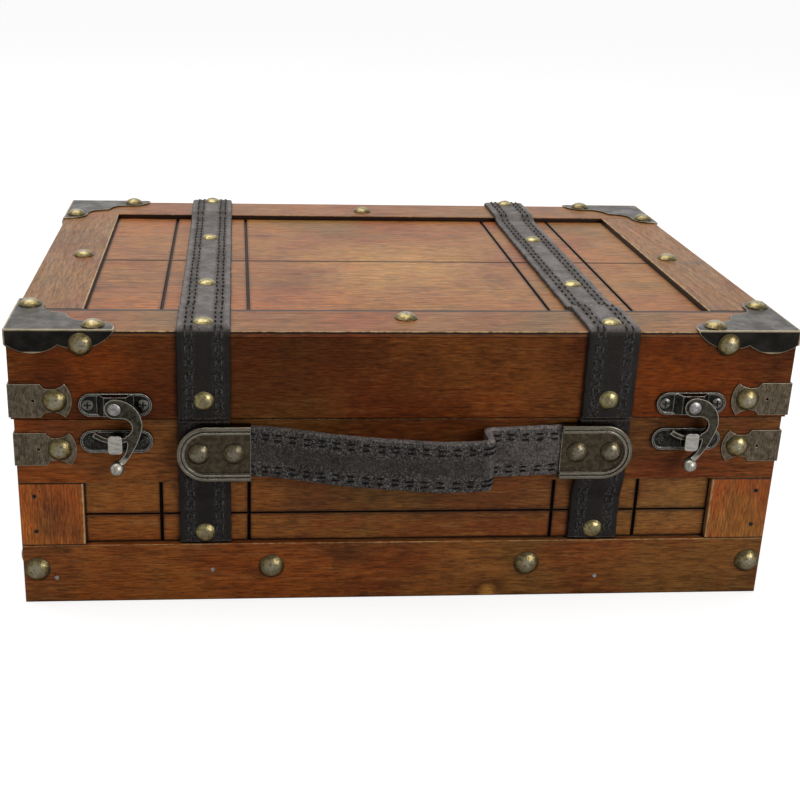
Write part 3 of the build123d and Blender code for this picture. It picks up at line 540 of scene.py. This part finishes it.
def domed_brass(name, colours):
    """Brass nail heads, coloured by how each part faces: a painted reflection in the middle, pale on
    the plain nails and rivets and darker on the strap nails, yellower round it, and a painted
    dark reflection where they curve down to the wood."""
    middle, ring, rim = colours
    metal = Finish(name)
    spots = metal.noise(metal.place, 520, detail=6, rough=0.65)
    sides = metal.parts(metal.vector("ABSOLUTE", metal.facing))
    level = metal.math("MAXIMUM", sides[X], metal.math("MAXIMUM", sides[Y], sides[Z]))
    uneven = metal.math("MULTIPLY", metal.math("SUBTRACT", spots, 0.5), 0.5)
    patchy = metal.math("ADD", level, uneven)
    tarnish = metal.step(metal.noise(metal.place, 900, detail=5), 0.5, 0.68, 0, 0.7)
    # Painted reflection: the middle colour where the dome faces straight out, and the dark rim colour
    # where it curves down.
    colour = metal.mix(metal.step(patchy, 0.86, 0.97), ring, middle)
    colour = metal.mix(metal.step(patchy, 0.86, 0.74, 0, 0.85), colour, rim)
    colour = metal.mix(tarnish, colour, rim)
    # Painted shade: near black where the heads meet the wood.
    colour = metal.mix(metal.math("MULTIPLY", metal.painted_shade_mask(1.4 * mm), 0.9), colour, grey(0.008))
    metal.shade({"Base Color": colour, "Metallic": 1.0,
                 "Roughness": metal.step(spots, 0.3, 0.7, 0.38, 0.24),
                 "Normal": metal.bump(spots, 0.25 * mm, 0.5)})
    return metal.material


def brad_iron():
    """Small brads: filled pale on the bottom rails and blackened on the end blocks."""
    metal = Finish("brad_iron")
    height = metal.parts(metal.place)[Z]
    spots = metal.noise(metal.place, 900, detail=3)
    pale = metal.mix(metal.step(spots, 0.3, 0.7), (0.3, 0.29, 0.27, 1), (0.62, 0.6, 0.57, 1))
    dark = metal.mix(metal.step(spots, 0.3, 0.7), grey(0.01), grey(0.04))
    colour = metal.mix(metal.step(height, 25 * mm, 27 * mm), pale, dark)
    metal.shade({"Base Color": colour, "Metallic": 0.6,
                 "Roughness": metal.step(spots, 0.3, 0.7, 0.6, 0.4),
                 "Normal": metal.bump(spots, 0.1 * mm, 0.5)})
    return metal.material


# Leather

FUZZ = (0.5, 0.47, 0.44, 1)


def charcoal_leather(name, rows, flat_painted_level, upright_level, rough_face=0.0, paler_beyond=None):
    """Scuffed leather with a fine grain, paler where it lies flat: painted sheen there. The strip's
    own coordinates run across it and along it in metres, and rows says where its stitches run,
    from the middle of the strip. With rough_face, the whole face is fuzzy and scuffed, not
    only its seams and edges, and to the right of paler_beyond it is scuffed paler."""
    leather = Finish(name)
    across = leather.parts(leather.strip)[X]
    inner, outer = rows
    side = leather.math("ABSOLUTE", across)
    folded = leather.math("ABSOLUTE", leather.math("SUBTRACT", side, (inner + outer) / 2))
    shaken = leather.add("TexNoise", {"Vector": leather.place, "Scale": 260, "Detail": 3})
    moved = leather.vector("MULTIPLY", shaken.outputs["Color"], (4 * mm,) * 3)
    warped = leather.vector("ADD", leather.place, moved)
    cells = leather.add("TexVoronoi", {"Vector": warped, "Scale": 480}, feature="DISTANCE_TO_EDGE")
    cracks = leather.step(cells.outputs["Distance"], 0.12, 0.02)
    creases = leather.noise(leather.place, 240, detail=8, rough=0.76, distortion=1.6)
    patches = leather.noise(leather.place, 110, detail=8, rough=0.7)
    fibres = leather.noise(leather.place, 1300, detail=4, rough=0.85, distortion=1.5)
    up = leather.parts(leather.facing)[Z]
    upright = leather.step(up, 0.75, 0.3)
    # Painted sheen: flat faces much paler than upright ones.
    level = leather.step(upright, 0, 1, flat_painted_level, upright_level)
    level = leather.math("MULTIPLY", level, leather.step(patches, 0.34, 0.68, 0.68, 1.3))
    if paler_beyond is not None:
        right = leather.parts(leather.place)[X]
        paler = leather.step(right, paler_beyond - 2 * mm, paler_beyond + 2 * mm, 1, 3.5)
        level = leather.math("MULTIPLY", level, paler)
    colour = leather.vector("MULTIPLY", (1.12, 0.97, 0.9), level)
    colour = leather.mix(leather.step(creases, 0.52, 0.66, 0, 0.7), colour, SMUDGE)
    colour = leather.mix(leather.math("MULTIPLY", cracks, 0.25 + 0.4 * rough_face), colour, SMUDGE)
    by_seam = leather.step(folded, (outer - inner) * 1.3, (outer - inner) * 0.5)
    outward = leather.step(side, 1.5 * mm, inner, 0.4 * rough_face, rough_face)
    rough = leather.math("MAXIMUM", by_seam, outward)
    fuzz = leather.math("MULTIPLY", rough, leather.step(fibres, 0.52, 0.6))
    colour = leather.mix(leather.math("MULTIPLY", fuzz, 0.28 + 0.45 * rough_face), colour, FUZZ)
    pits = leather.math("MULTIPLY", rough, leather.step(fibres, 0.49, 0.43))
    colour = leather.mix(leather.math("MULTIPLY", pits, 0.9), colour, grey(0.006))
    worn_edge = leather.math("MULTIPLY", leather.corner(1.1 * mm), leather.step(fibres, 0.45, 0.58))
    colour = leather.mix(leather.math("MULTIPLY", worn_edge, 0.7), colour, (0.3, 0.275, 0.25, 1))
    # Painted shade: near black in the crevices of the leather and where it meets other parts.
    colour = leather.mix(leather.math("MULTIPLY", leather.painted_shade_mask(0.9 * mm), 0.6), colour, grey(0.006))
    relief = leather.math("ADD", leather.math("MULTIPLY", cracks, -0.5),
                          leather.math("MULTIPLY", creases, 1.4))
    frayed = leather.math("ADD", leather.math("MULTIPLY", rough, 1.6), 0.3)
    relief = leather.math("ADD", relief, leather.math("MULTIPLY", fibres, frayed))
    roughness = leather.step(patches, 0.3, 0.7, 0.5, 0.36)
    roughness = leather.math("ADD", roughness, leather.math("MULTIPLY", rough, 0.35))
    leather.shade({"Base Color": colour, "Roughness": roughness, "Specular IOR Level": 0.3,
                   "Specular Tint": (1.0, 0.93, 0.87, 1),
                   "Normal": leather.bump(relief, 0.2 * mm, 0.85)})
    return leather.material


def waxed_thread(name, flat_painted_level, upright_level):
    """Twisted thread, painted black where it lies flat as the shade in its stitch holes, and fuzzy and
    paler where it stands upright.
    """
    thread = Finish(name)
    twist = thread.noise(thread.place, 2600, detail=3, rough=0.7)
    up = thread.parts(thread.facing)[Z]
    upright = thread.step(up, 0.8, 0.2)
    # Painted shade: black where the thread lies flat in the stitch holes.
    colour = thread.mix(upright, grey(flat_painted_level), grey(upright_level))
    colour = thread.mix(thread.step(twist, 0.45, 0.62, 0, 0.85), colour, grey(0.01))
    thread.shade({"Base Color": colour, "Roughness": 0.85, "Specular IOR Level": 0.1,
                  "Normal": thread.bump(twist, 0.1 * mm, 0.8)})
    return thread.material


# Which finish each piece gets

def give(piece, material):
    """Gives a piece its only material."""
    piece.data.materials.clear()
    piece.data.materials.append(material)


def dress(node, material):
    """Gives a CAD node its finish."""
    give(cad_nodes[node], material)


# How each kind of board differs from the plain stained wood of the bottom board
# The factor that scales each board's colour sets its hue and paints light: the lid's walls darker and
# the end blocks lighter.
PANEL_LOOK = {"tone": 0.02, "hue_and_light": (1.02, 1.12, 1.08), "glow": 0.4, "gloss": 0.22}
FOOT_LOOK = {"hue_and_light": (0.92, 0.95, 1.0), "glow": 0.5, "gloss": 0.18, "wear": 0.45 * mm, "bare": 0.5}
SEAM_LOOK = {"hue_and_light": (0.88, 0.8, 0.85), "gloss": 0.14, "wear": 0.38 * mm, "bare": 0.4}
BLOCK_LOOK = {"tone": 0.06, "hue_and_light": (1.75, 1.8, 1.85), "figure": 0.6, "gloss": 0.18,
              "wear": 0.9 * mm, "bare": 0.9, "end_lines": True}
LID_WALL_LOOK = {"tone": -0.02, "hue_and_light": (0.67, 0.58, 0.53), "gloss": 0.1, "wear": 0.0}
LID_BOARD_LOOK = {"tone": 0.08, "hue_and_light": (1.1, 1.24, 1.1), "figure": 0.5, "glow": 0.3,
                  "pore": TOP_PORES, "shade_strength": 0.6}
FRAME_LOOK = {"tone": 0.1, "glow": 0.3, "pore": TOP_PORES, "shaded_sides": True}
FRONT_RAIL_LOOK = {**FRAME_LOOK, "hue_and_light": (0.9, 1.0, 1.0), "figure": 0.8, "wear": 0.55 * mm,
                   "bare": 0.7, "shaded_depth": 1.4 * mm, "shaded_back_edge": True}
BACK_RAIL_LOOK = {**FRAME_LOOK, "hue_and_light": (0.95, 1.05, 1.0), "figure": 0.7}
STILE_LOOK = {**FRAME_LOOK, "hue_and_light": (0.84, 1.04, 1.16), "figure": 0.8, "wear": 0.6 * mm,
              "bare": 0.8, "end_lines": True}


def dress_board(node, grain, seed, look, **more):
    """Gives a board its own piece of wood, with the grain along one axis."""
    dress(node, stained_wood(node, grain, seed, **look, **more))


def dress_base_and_walls():
    """The base's boards and the lid's four walls. The front has the marks of the photograph."""
    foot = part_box("base_front_bottom_rail")[0].y
    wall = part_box("lid_front_wall")[0].y
    panel_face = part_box("base_front_wall")[0].y
    sunlit = (Vector((122 * mm, panel_face, 43 * mm)), (34 * mm, 9 * mm, 24 * mm), HONEY_STAIN, 0.22)
    knot_ring = (Vector((40 * mm, foot, 5 * mm)), (17 * mm, 3 * mm, 9 * mm), DARK_STAIN, 0.7)
    knot_heart = (Vector((40 * mm, foot, 2 * mm)), (6.5 * mm, 3 * mm, 6.5 * mm), KNOT, 0.95)
    amber_end = (Vector((108 * mm, foot, 14 * mm)), (62 * mm, 9 * mm, 18 * mm), AMBER_STAIN, 0.55)
    glowing_end = (Vector((112 * mm, wall, 104 * mm)), (56 * mm, 9 * mm, 28 * mm), GLOWING_STAIN, 0.6)
    brown_end = (Vector((-66 * mm, wall, 104 * mm)), (96 * mm, 9 * mm, 30 * mm), BROWN_STAIN, 0.55)
    spots = {"base_front_wall": (sunlit,),
             "base_front_bottom_rail": (knot_ring, knot_heart, amber_end),
             "lid_front_wall": (glowing_end, brown_end)}
    for seed, (name, outward) in enumerate(OUTWARD.items()):
        long_axis = X if name in ("front", "back") else Y
        low, high = (corner.copy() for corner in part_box(f"base_{name}_end_blocks"))
        low[long_axis] += END_BLOCK
        high[long_axis] -= END_BLOCK
        short_lines = FRONT_GROOVES
        if long_axis == Y:
            short_lines = ((high - low)[Y] / 2 - END_GROOVE_IN,)
        panel = ((low, high), long_axis, Z, (short_lines, LONG_GROOVE_HEIGHT))
        for node, grain, board_seed, look, more in (
                (f"base_{name}_wall", long_axis, 1.3, PANEL_LOOK,
                 {"outward": outward, "panel": panel}),
                (f"base_{name}_bottom_rail", long_axis, 5.1, FOOT_LOOK, {}),
                (f"base_{name}_top_rail", long_axis, 9.7, SEAM_LOOK, {}),
                (f"base_{name}_end_blocks", Z, 13.2, BLOCK_LOOK, {"pair_axis": long_axis}),
                (f"lid_{name}_wall", long_axis, 17.9, LID_WALL_LOOK, {})):
            dress_board(node, grain, seed + board_seed, look, spots=spots.get(node, ()), **more)
    dress_board("base_bottom_board", X, 23.0, {})


def dress_lid_top():
    """The scored board and the frame that is laid round it."""
    left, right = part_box("lid_left_frame_stile")[1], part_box("lid_right_frame_stile")[0]
    near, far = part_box("lid_front_frame_rail")[1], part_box("lid_back_frame_rail")[0]
    opening = (Vector((left.x, near.y, 0)), Vector((right.x, far.y, 1)))
    board_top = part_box("lid_top_board")[1].z
    faded = (Vector((10 * mm, -10 * mm, board_top)), (75 * mm, 70 * mm, 9 * mm), HONEY_STAIN, 0.42)
    smoke = (Vector((-57 * mm, 52 * mm, board_top)), (13 * mm, 7 * mm, 4 * mm), DARK_STAIN, 0.5)
    dress_board("lid_top_board", X, 24.6, LID_BOARD_LOOK, outward=(0, 0, 1), spots=(faded, smoke),
                panel=(opening, X, Y, (FRONT_GROOVES, 0.0)))
    dress_board("lid_front_frame_rail", X, 26.2, FRONT_RAIL_LOOK)
    dress_board("lid_back_frame_rail", X, 27.8, BACK_RAIL_LOOK)
    dress_board("lid_left_frame_stile", Y, 29.4, STILE_LOOK)
    dress_board("lid_right_frame_stile", Y, 31.0, STILE_LOOK)


def dress_metal():
    """Brass nails, blackened corners and plates, and worn nickel latches."""
    nail_brass = domed_brass("nail_brass", NAIL_BRASS)
    strap_brass = domed_brass("strap_brass", STRAP_NAIL_BRASS)
    for body in ("lid", "base"):
        dress(f"{body}_dome_nails", nail_brass)
        dress(f"{body}_strap_nails", strap_brass)
        node = f"{body}_corner_clips"
        dress(node, aged_metal(f"brushed_{node}", CLIP_BRONZE, 0.36, mottle=420, spread=(0.36, 0.68),
                               streaks=0.6, edge=0.6 * mm, dent=0.4))
    dress("handle_rivets", domed_brass("rivet_brass", RIVET_BRASS))
    for row in ("front", "back"):
        for side in ("left", "right"):
            node = f"lid_corner_protector_{row}_{side}"
            dress(node, aged_metal(f"blackened_corner_{row}_{side}", CORNER_STEEL, 0.34, mottle=140,
                                   node=node, fold=0.9 * mm, edge=0.6 * mm, dent=0.25, upright=0.3))
    for side in ("left", "right"):
        for node, raised in ((f"latch_plate_{side}", 0.0), (f"keeper_{side}", 1.3 * mm)):
            dress(node, aged_metal(f"dark_{node}", LATCH_NICKEL, 0.32, mottle=520, node=node,
                                   raised=raised, edge=0.7 * mm))
        node = f"handle_plate_{side}"
        dress(node, aged_metal(f"dark_{node}", HANDLE_BRONZE, 0.24, mottle=420, node=node,
                               raised=0.75 * mm, bared=0.3, edge=0.6 * mm, dent=0.5))
    for node in ("hinge_lid_leaves", "hinge_base_leaves", "hinge_pins"):
        dress(node, aged_metal(f"dark_{node}", HINGE_BRONZE, 0.34, mottle=420, edge=0.6 * mm))
    dress("latch_rivets", aged_metal("rubbed_silver", RIVET_SILVER, 0.3, mottle=500))
    dress("base_screws", aged_metal("black_iron", SCREW_IRON, 0.38, edge=0.4 * mm))
    dress("lid_screws", aged_metal("slotted_iron", SLOTTED_IRON, 0.38, node="lid_screws",
                                   raised=0.6 * mm))
    dress("base_brads", brad_iron())


def round_hook(side):
    """A latch hook with its edges rounded over, from the shape of the plain one."""
    node = f"hook_{side}"
    hook = bpy.data.objects.new(f"hook_{side}_rounded", cad_nodes[node].data.copy())
    bpy.context.scene.collection.objects.link(hook)
    select_only(hook)
    bpy.ops.object.mode_set(mode="EDIT")
    bpy.ops.mesh.select_all(action="SELECT")
    bpy.ops.mesh.remove_doubles(threshold=0.002 * mm)
    bpy.ops.mesh.dissolve_limited(angle_limit=radians(3))
    bpy.ops.object.mode_set(mode="OBJECT")
    soften = hook.modifiers.new("soften", "BEVEL")
    soften.width = 0.55 * mm
    soften.segments = 3
    soften.limit_method = "ANGLE"
    soften.angle_limit = radians(50)
    apply_modifiers(hook)
    bpy.ops.object.shade_smooth_by_angle(angle=radians(35))
    give(hook, hook_nickel(node))
    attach(hook, node)
    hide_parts(node)


def hook_nickel(node):
    """Worn nickel: dark on the flat, bright along the edges, and rubbed pale on the knob."""
    dark, worn, bright = HOOK_NICKEL
    metal = Finish(f"{node}_nickel")
    spots = metal.noise(metal.place, 420, detail=6, rough=0.65)
    scratched = metal.noise(metal.stretched((1, 1, 0.2)), 1500, detail=4, rough=0.7)
    up = metal.parts(metal.place)[Z]
    knob_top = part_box(node)[0].z + KNOB_HEIGHT
    handled = metal.step(up, knob_top + 2 * mm, knob_top - 1 * mm, 0, 0.85)
    colour = metal.mix(metal.step(spots, 0.35, 0.65), dark, worn)
    rub = metal.math("MULTIPLY", metal.corner(1.0 * mm), metal.step(spots, 0.28, 0.5, 0.7, 1))
    handled = metal.math("MULTIPLY", handled, metal.step(scratched, 0.32, 0.6, 0.35, 1))
    rub = metal.math("MAXIMUM", rub, handled)
    colour = metal.mix(rub, colour, bright)
    # Painted shade: near black in the hollows of the hook.
    colour = metal.mix(metal.math("MULTIPLY", metal.painted_shade_mask(1.2 * mm), 0.9), colour, grey(0.01))
    relief = metal.math("ADD", spots, metal.math("MULTIPLY", scratched, 0.3))
    metal.shade({"Base Color": colour, "Metallic": 1.0,
                 "Roughness": metal.step(spots, 0.3, 0.7, 0.42, 0.28),
                 "Normal": metal.bump(relief, 0.12 * mm, 0.5)})
    return metal.material


# Leather straps, built flat and then bent along their way over the wood

STITCH_ROWS = (4.8 * mm, 7.4 * mm)
STITCH_PITCH = 6.2 * mm
STITCH_LENGTH = 3.4 * mm
STITCH_WIDTH = 1.25 * mm
SOFT_BEND = 6 * mm
TIGHT_BEND = 0.7 * mm
RAMP = 8 * mm


def select_only(piece):
    bpy.ops.object.select_all(action="DESELECT")
    piece.select_set(True)
    bpy.context.view_layer.objects.active = piece


def apply_modifiers(piece):
    select_only(piece)
    for modifier in list(piece.modifiers):
        bpy.ops.object.modifier_apply(modifier=modifier.name)


def rounded_route(name, corners, radii):
    """A flat curve along straight runs, with each corner turned on its own radius. Returns the
    curve and its length."""
    points = [Vector(corner) for corner in corners]
    stops = [(points[0], None)]
    length = 0.0
    for index, radius in enumerate(radii):
        before, here, after = points[index:index + 3]
        come = (here - before).normalized()
        go = (after - here).normalized()
        turn = acos(max(-1.0, min(1.0, come.dot(go))))
        reach = radius * tan(turn / 2)
        pull = 4 / 3 * radius * tan(turn / 4)
        stops.append((here - come * reach, come * pull))
        stops.append((here + go * reach, go * pull))
        length += radius * turn
    stops.append((points[-1], None))
    data = bpy.data.curves.new(name, "CURVE")
    data.dimensions = "2D"
    data.resolution_u = 24
    spline = data.splines.new("BEZIER")
    spline.bezier_points.add(len(stops) - 1)
    for index, (place, pull) in enumerate(stops):
        knot = spline.bezier_points[index]
        knot.co = (*place, 0)
        knot.handle_left_type = knot.handle_right_type = "FREE"
        knot.handle_left = knot.handle_right = knot.co
        starts_turn = index % 2 == 1
        if pull is not None and starts_turn:
            knot.handle_right = knot.co + Vector((*pull, 0))
        elif pull is not None:
            knot.handle_left = knot.co - Vector((*pull, 0))
    for index in range(0, len(stops) - 1, 2):
        first, second = spline.bezier_points[index], spline.bezier_points[index + 1]
        run = second.co - first.co
        length += run.length
        first.handle_right = first.co + run / 3
        second.handle_left = second.co - run / 3
    curve = bpy.data.objects.new(name, data)
    bpy.context.scene.collection.objects.link(curve)
    return curve, length


def bend_along(piece, route):
    """Bends a piece that lies along X so that it follows the route."""
    bend = piece.modifiers.new("bend", "CURVE")
    bend.object = route
    bend.deform_axis = "POS_X"
    apply_modifiers(piece)


def leather_strip(name, length, width, thickness, rows, seed):
    """A flat strap along X, its back at Y 0 and its face at Y thickness, with rounded edges,
    a slight crown and a shallow channel along each row of stitches."""
    steps_long = int(length / (0.8 * mm))
    bpy.ops.mesh.primitive_grid_add(x_subdivisions=steps_long, y_subdivisions=28, size=1,
                                    rotation=(-pi / 2, 0, 0))
    strip = bpy.context.object
    strip.name = name
    strip.scale = (length, width, 1)
    strip.location = (length / 2, 0, 0)
    bpy.ops.object.transform_apply(location=True, rotation=True, scale=True)
    shell = strip.modifiers.new("shell", "SOLIDIFY")
    shell.thickness = thickness
    shell.offset = 1
    apply_modifiers(strip)
    half = width / 2
    inner, outer = rows
    for vertex in strip.data.vertices:
        along, up, side = vertex.co
        side = half * sin(pi / 2 * side / half)
        edge = half - abs(side)
        ragged = noise.noise(Vector((along / (3 * mm), side * 60, seed))) * 0.24 * mm
        ragged += noise.noise(Vector((along / (0.9 * mm), side * 90, seed + 3))) * 0.2 * mm
        if up > thickness / 2:
            rim = 0.7 * mm
            drop = 0.0
            if edge < rim:
                drop = (1 - (1 - (1 - edge / rim) ** 2) ** 0.5) * thickness * 0.45
            row = min(abs(abs(side) - inner), abs(abs(side) - outer))
            channel = 0.1 * mm * max(0.0, 1 - (row / (0.8 * mm)) ** 2)
            crown = 0.3 * mm * max(0.0, 1 - (side / half) ** 2)
            rumple = noise.noise(Vector((along / (9 * mm), side / (6 * mm), seed))) * 0.09 * mm
            up = thickness - drop - channel + crown + rumple
        if edge < 0.5 * mm:
            side += ragged if side > 0 else -ragged
        vertex.co = (along, up, side)
    layer = strip.data.uv_layers.active
    for loop in strip.data.loops:
        spot = strip.data.vertices[loop.vertex_index].co
        layer.data[loop.index].uv = (spot.z, spot.x)
    return strip


def stitch_rows(name, length, height, rows, seed):
    """Rows of stitches on the face of a strap along X, two on each side of its middle."""
    inner, outer = rows
    bpy.ops.mesh.primitive_uv_sphere_add(segments=8, ring_count=5, radius=0.5,
                                         rotation=(0, pi / 2, 0))
    stitches = bpy.context.object
    stitches.name = name
    stitches.scale = (STITCH_WIDTH * 0.8, STITCH_WIDTH, STITCH_LENGTH)
    stitches.location = (STITCH_PITCH, height, -outer)
    bpy.ops.object.transform_apply(location=True, rotation=True, scale=True)
    for axis, step, count in ((X, STITCH_PITCH, int(length / STITCH_PITCH) - 1),
                              (Z, outer - inner, 2), (Z, inner + outer, 2)):
        spread = stitches.modifiers.new("row", "ARRAY")
        spread.use_relative_offset = False
        spread.use_constant_offset = True
        spread.constant_offset_displace = [step if part == axis else 0 for part in (X, Y, Z)]
        spread.count = count
    apply_modifiers(stitches)
    for vertex in stitches.data.vertices:
        along, up, side = vertex.co
        lane = round(side / (1.2 * mm))
        side += noise.noise(Vector((along / (7 * mm), lane * 5.3, seed))) * 0.45 * mm
        side += noise.noise(Vector((along / (1.8 * mm), lane * 3.1, seed + 5))) * 0.3 * mm
        up += noise.noise(Vector((along / (2 * mm), lane * 7.7, seed + 9))) * 0.1 * mm
        vertex.co = (along, up, side)
    return stitches


# Swaps the axes, so that a strap laid out in X and Y stands in Y and Z
STAND_UP = Matrix(((0, 0, 1, 0), (1, 0, 0, 0), (0, 1, 0, 0), (0, 0, 0, 1)))


def lay_strap(node, corners, radii, thickness, body, leather, thread, seed):
    """A stitched strap in place of a node, along a route in the upright plane through its
    middle. The route is given as (Y, Z) on the wood, with the outside on its left."""
    near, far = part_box(node)
    name = node + "_leather"
    route, length = rounded_route(name + "_route", corners, radii)
    strip = leather_strip(name, length, far.x - near.x, thickness, STITCH_ROWS, seed)
    stitches = stitch_rows(name + "_stitches", length, thickness + 0.1 * mm, STITCH_ROWS, seed)
    for piece, material in ((strip, leather), (stitches, thread)):
        bend_along(piece, route)
        piece.data.transform(Matrix.Translation(((near.x + far.x) / 2, 0, 0)) @ STAND_UP)
        give(piece, material)
        select_only(piece)
        bpy.ops.object.shade_smooth_by_angle(angle=radians(50))
        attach(piece, body)
    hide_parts(node)
    bpy.data.objects.remove(route)


def add_straps():
    """The straps over the lid, and their ends below the seam."""
    leather = charcoal_leather("charcoal_leather", STITCH_ROWS, flat_painted_level=0.14, upright_level=0.0105)
    thread = waxed_thread("waxed_thread", flat_painted_level=0.008, upright_level=0.12)
    rail_low, rail_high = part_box("lid_front_frame_rail")
    wood_front, recess = rail_low.y, rail_low.z
    rail_edge, wood_top = rail_high.y, rail_high.z
    for seed, side in enumerate(("left", "right")):
        node = f"lid_strap_{side}"
        near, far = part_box(node)
        thickness = wood_front - near.y
        corners = [(wood_front, near.z), (wood_front, wood_top), (rail_edge, wood_top),
                   (rail_edge + RAMP, recess), (-rail_edge - RAMP, recess),
                   (-rail_edge, wood_top), (-wood_front, wood_top), (-wood_front, near.z)]
        radii = (TIGHT_BEND, SOFT_BEND, SOFT_BEND, SOFT_BEND, SOFT_BEND, TIGHT_BEND)
        lay_strap(node, corners, radii, thickness, "lid", leather, thread, seed + 1.5)
        for row, out in (("front", -1), ("back", 1)):
            node = f"base_strap_{row}_{side}"
            near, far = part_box(node)
            rail_low, rail_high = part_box(f"base_{row}_top_rail")
            face = rail_low.y if out < 0 else rail_high.y
            panel = rail_high.y if out < 0 else rail_low.y
            corners = [(panel, near.z), (panel, rail_low.z - RAMP), (face, rail_low.z), (face, far.z)]
            if out > 0:
                corners.reverse()
            lay_strap(node, corners, (SOFT_BEND, SOFT_BEND), thickness, "base", leather, thread,
                      seed + 3.5 + out)


HANDLE_ROWS = (6.2 * mm, 8.4 * mm)
HANDLE_SAG = 1.8 * mm
HANDLE_THICKNESS = 3 * mm
HANDLE_BEND = 24 * mm

# Where the handle bows out and is creased, along X
BOW_STARTS_AT = -27 * mm
BOW_ENDS_AT = 15 * mm
CREASED_AT = 32.5 * mm
CREASE_BENDS = (3.9 * mm, 1.2 * mm)


def add_handle():
    """The handle's strap: held under both plates, bowed out to the right and creased there."""
    low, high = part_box("handle_strap")
    back = high.y
    far = low.y + HANDLE_THICKNESS
    plate_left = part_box("handle_plate_left")[1].x
    plate_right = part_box("handle_plate_right")[0].x
    corners = [(high.x, back), (CREASED_AT, back), (CREASED_AT, far + 0.8 * mm), (BOW_ENDS_AT, far),
               (BOW_STARTS_AT, (back + far) / 2), (plate_left + 10 * mm, back), (low.x, back)]
    radii = (*CREASE_BENDS, HANDLE_BEND, HANDLE_BEND, HANDLE_BEND)
    route, length = rounded_route("handle_route", corners, radii)
    leather = charcoal_leather("handle_leather", HANDLE_ROWS, flat_painted_level=0.11,
                               upright_level=0.035, rough_face=1.0, paler_beyond=32 * mm)
    thread = waxed_thread("handle_thread", flat_painted_level=0.012, upright_level=0.018)
    strip = leather_strip("handle_leather_strap", length, high.z - low.z, HANDLE_THICKNESS,
                          HANDLE_ROWS, 11.0)
    stitches = stitch_rows("handle_stitches", length, HANDLE_THICKNESS + 0.1 * mm, HANDLE_ROWS, 12.0)
    for piece, material in ((strip, leather), (stitches, thread)):
        bend_along(piece, route)
        piece.data.transform(Matrix.Translation((0, 0, (low.z + high.z) / 2)))
        for vertex in piece.data.vertices:
            share = (vertex.co.x - plate_left) / (plate_right - plate_left)
            vertex.co.z -= HANDLE_SAG * sin(pi * max(0.0, min(1.0, share)))
        give(piece, material)
        select_only(piece)
        bpy.ops.object.shade_smooth_by_angle(angle=radians(50))
        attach(piece, "base")
    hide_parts("handle_strap")
    bpy.data.objects.remove(route)


bpy.context.scene.view_settings.view_transform = "Standard"
add_camera()
add_world()
add_softbox("overhead", (-0.25, 0.15, 1.4), aim=(0, 0, 0.1), size=1.3, power=10)
add_softbox("fill", (0.75, -0.95, 0.55), aim=(0.05, -0.1, 0.06), size=0.6, power=4.6)
add_floor()
dress_base_and_walls()
dress_lid_top()
dress_metal()
round_hook("left")
round_hook("right")
add_straps()
add_handle()
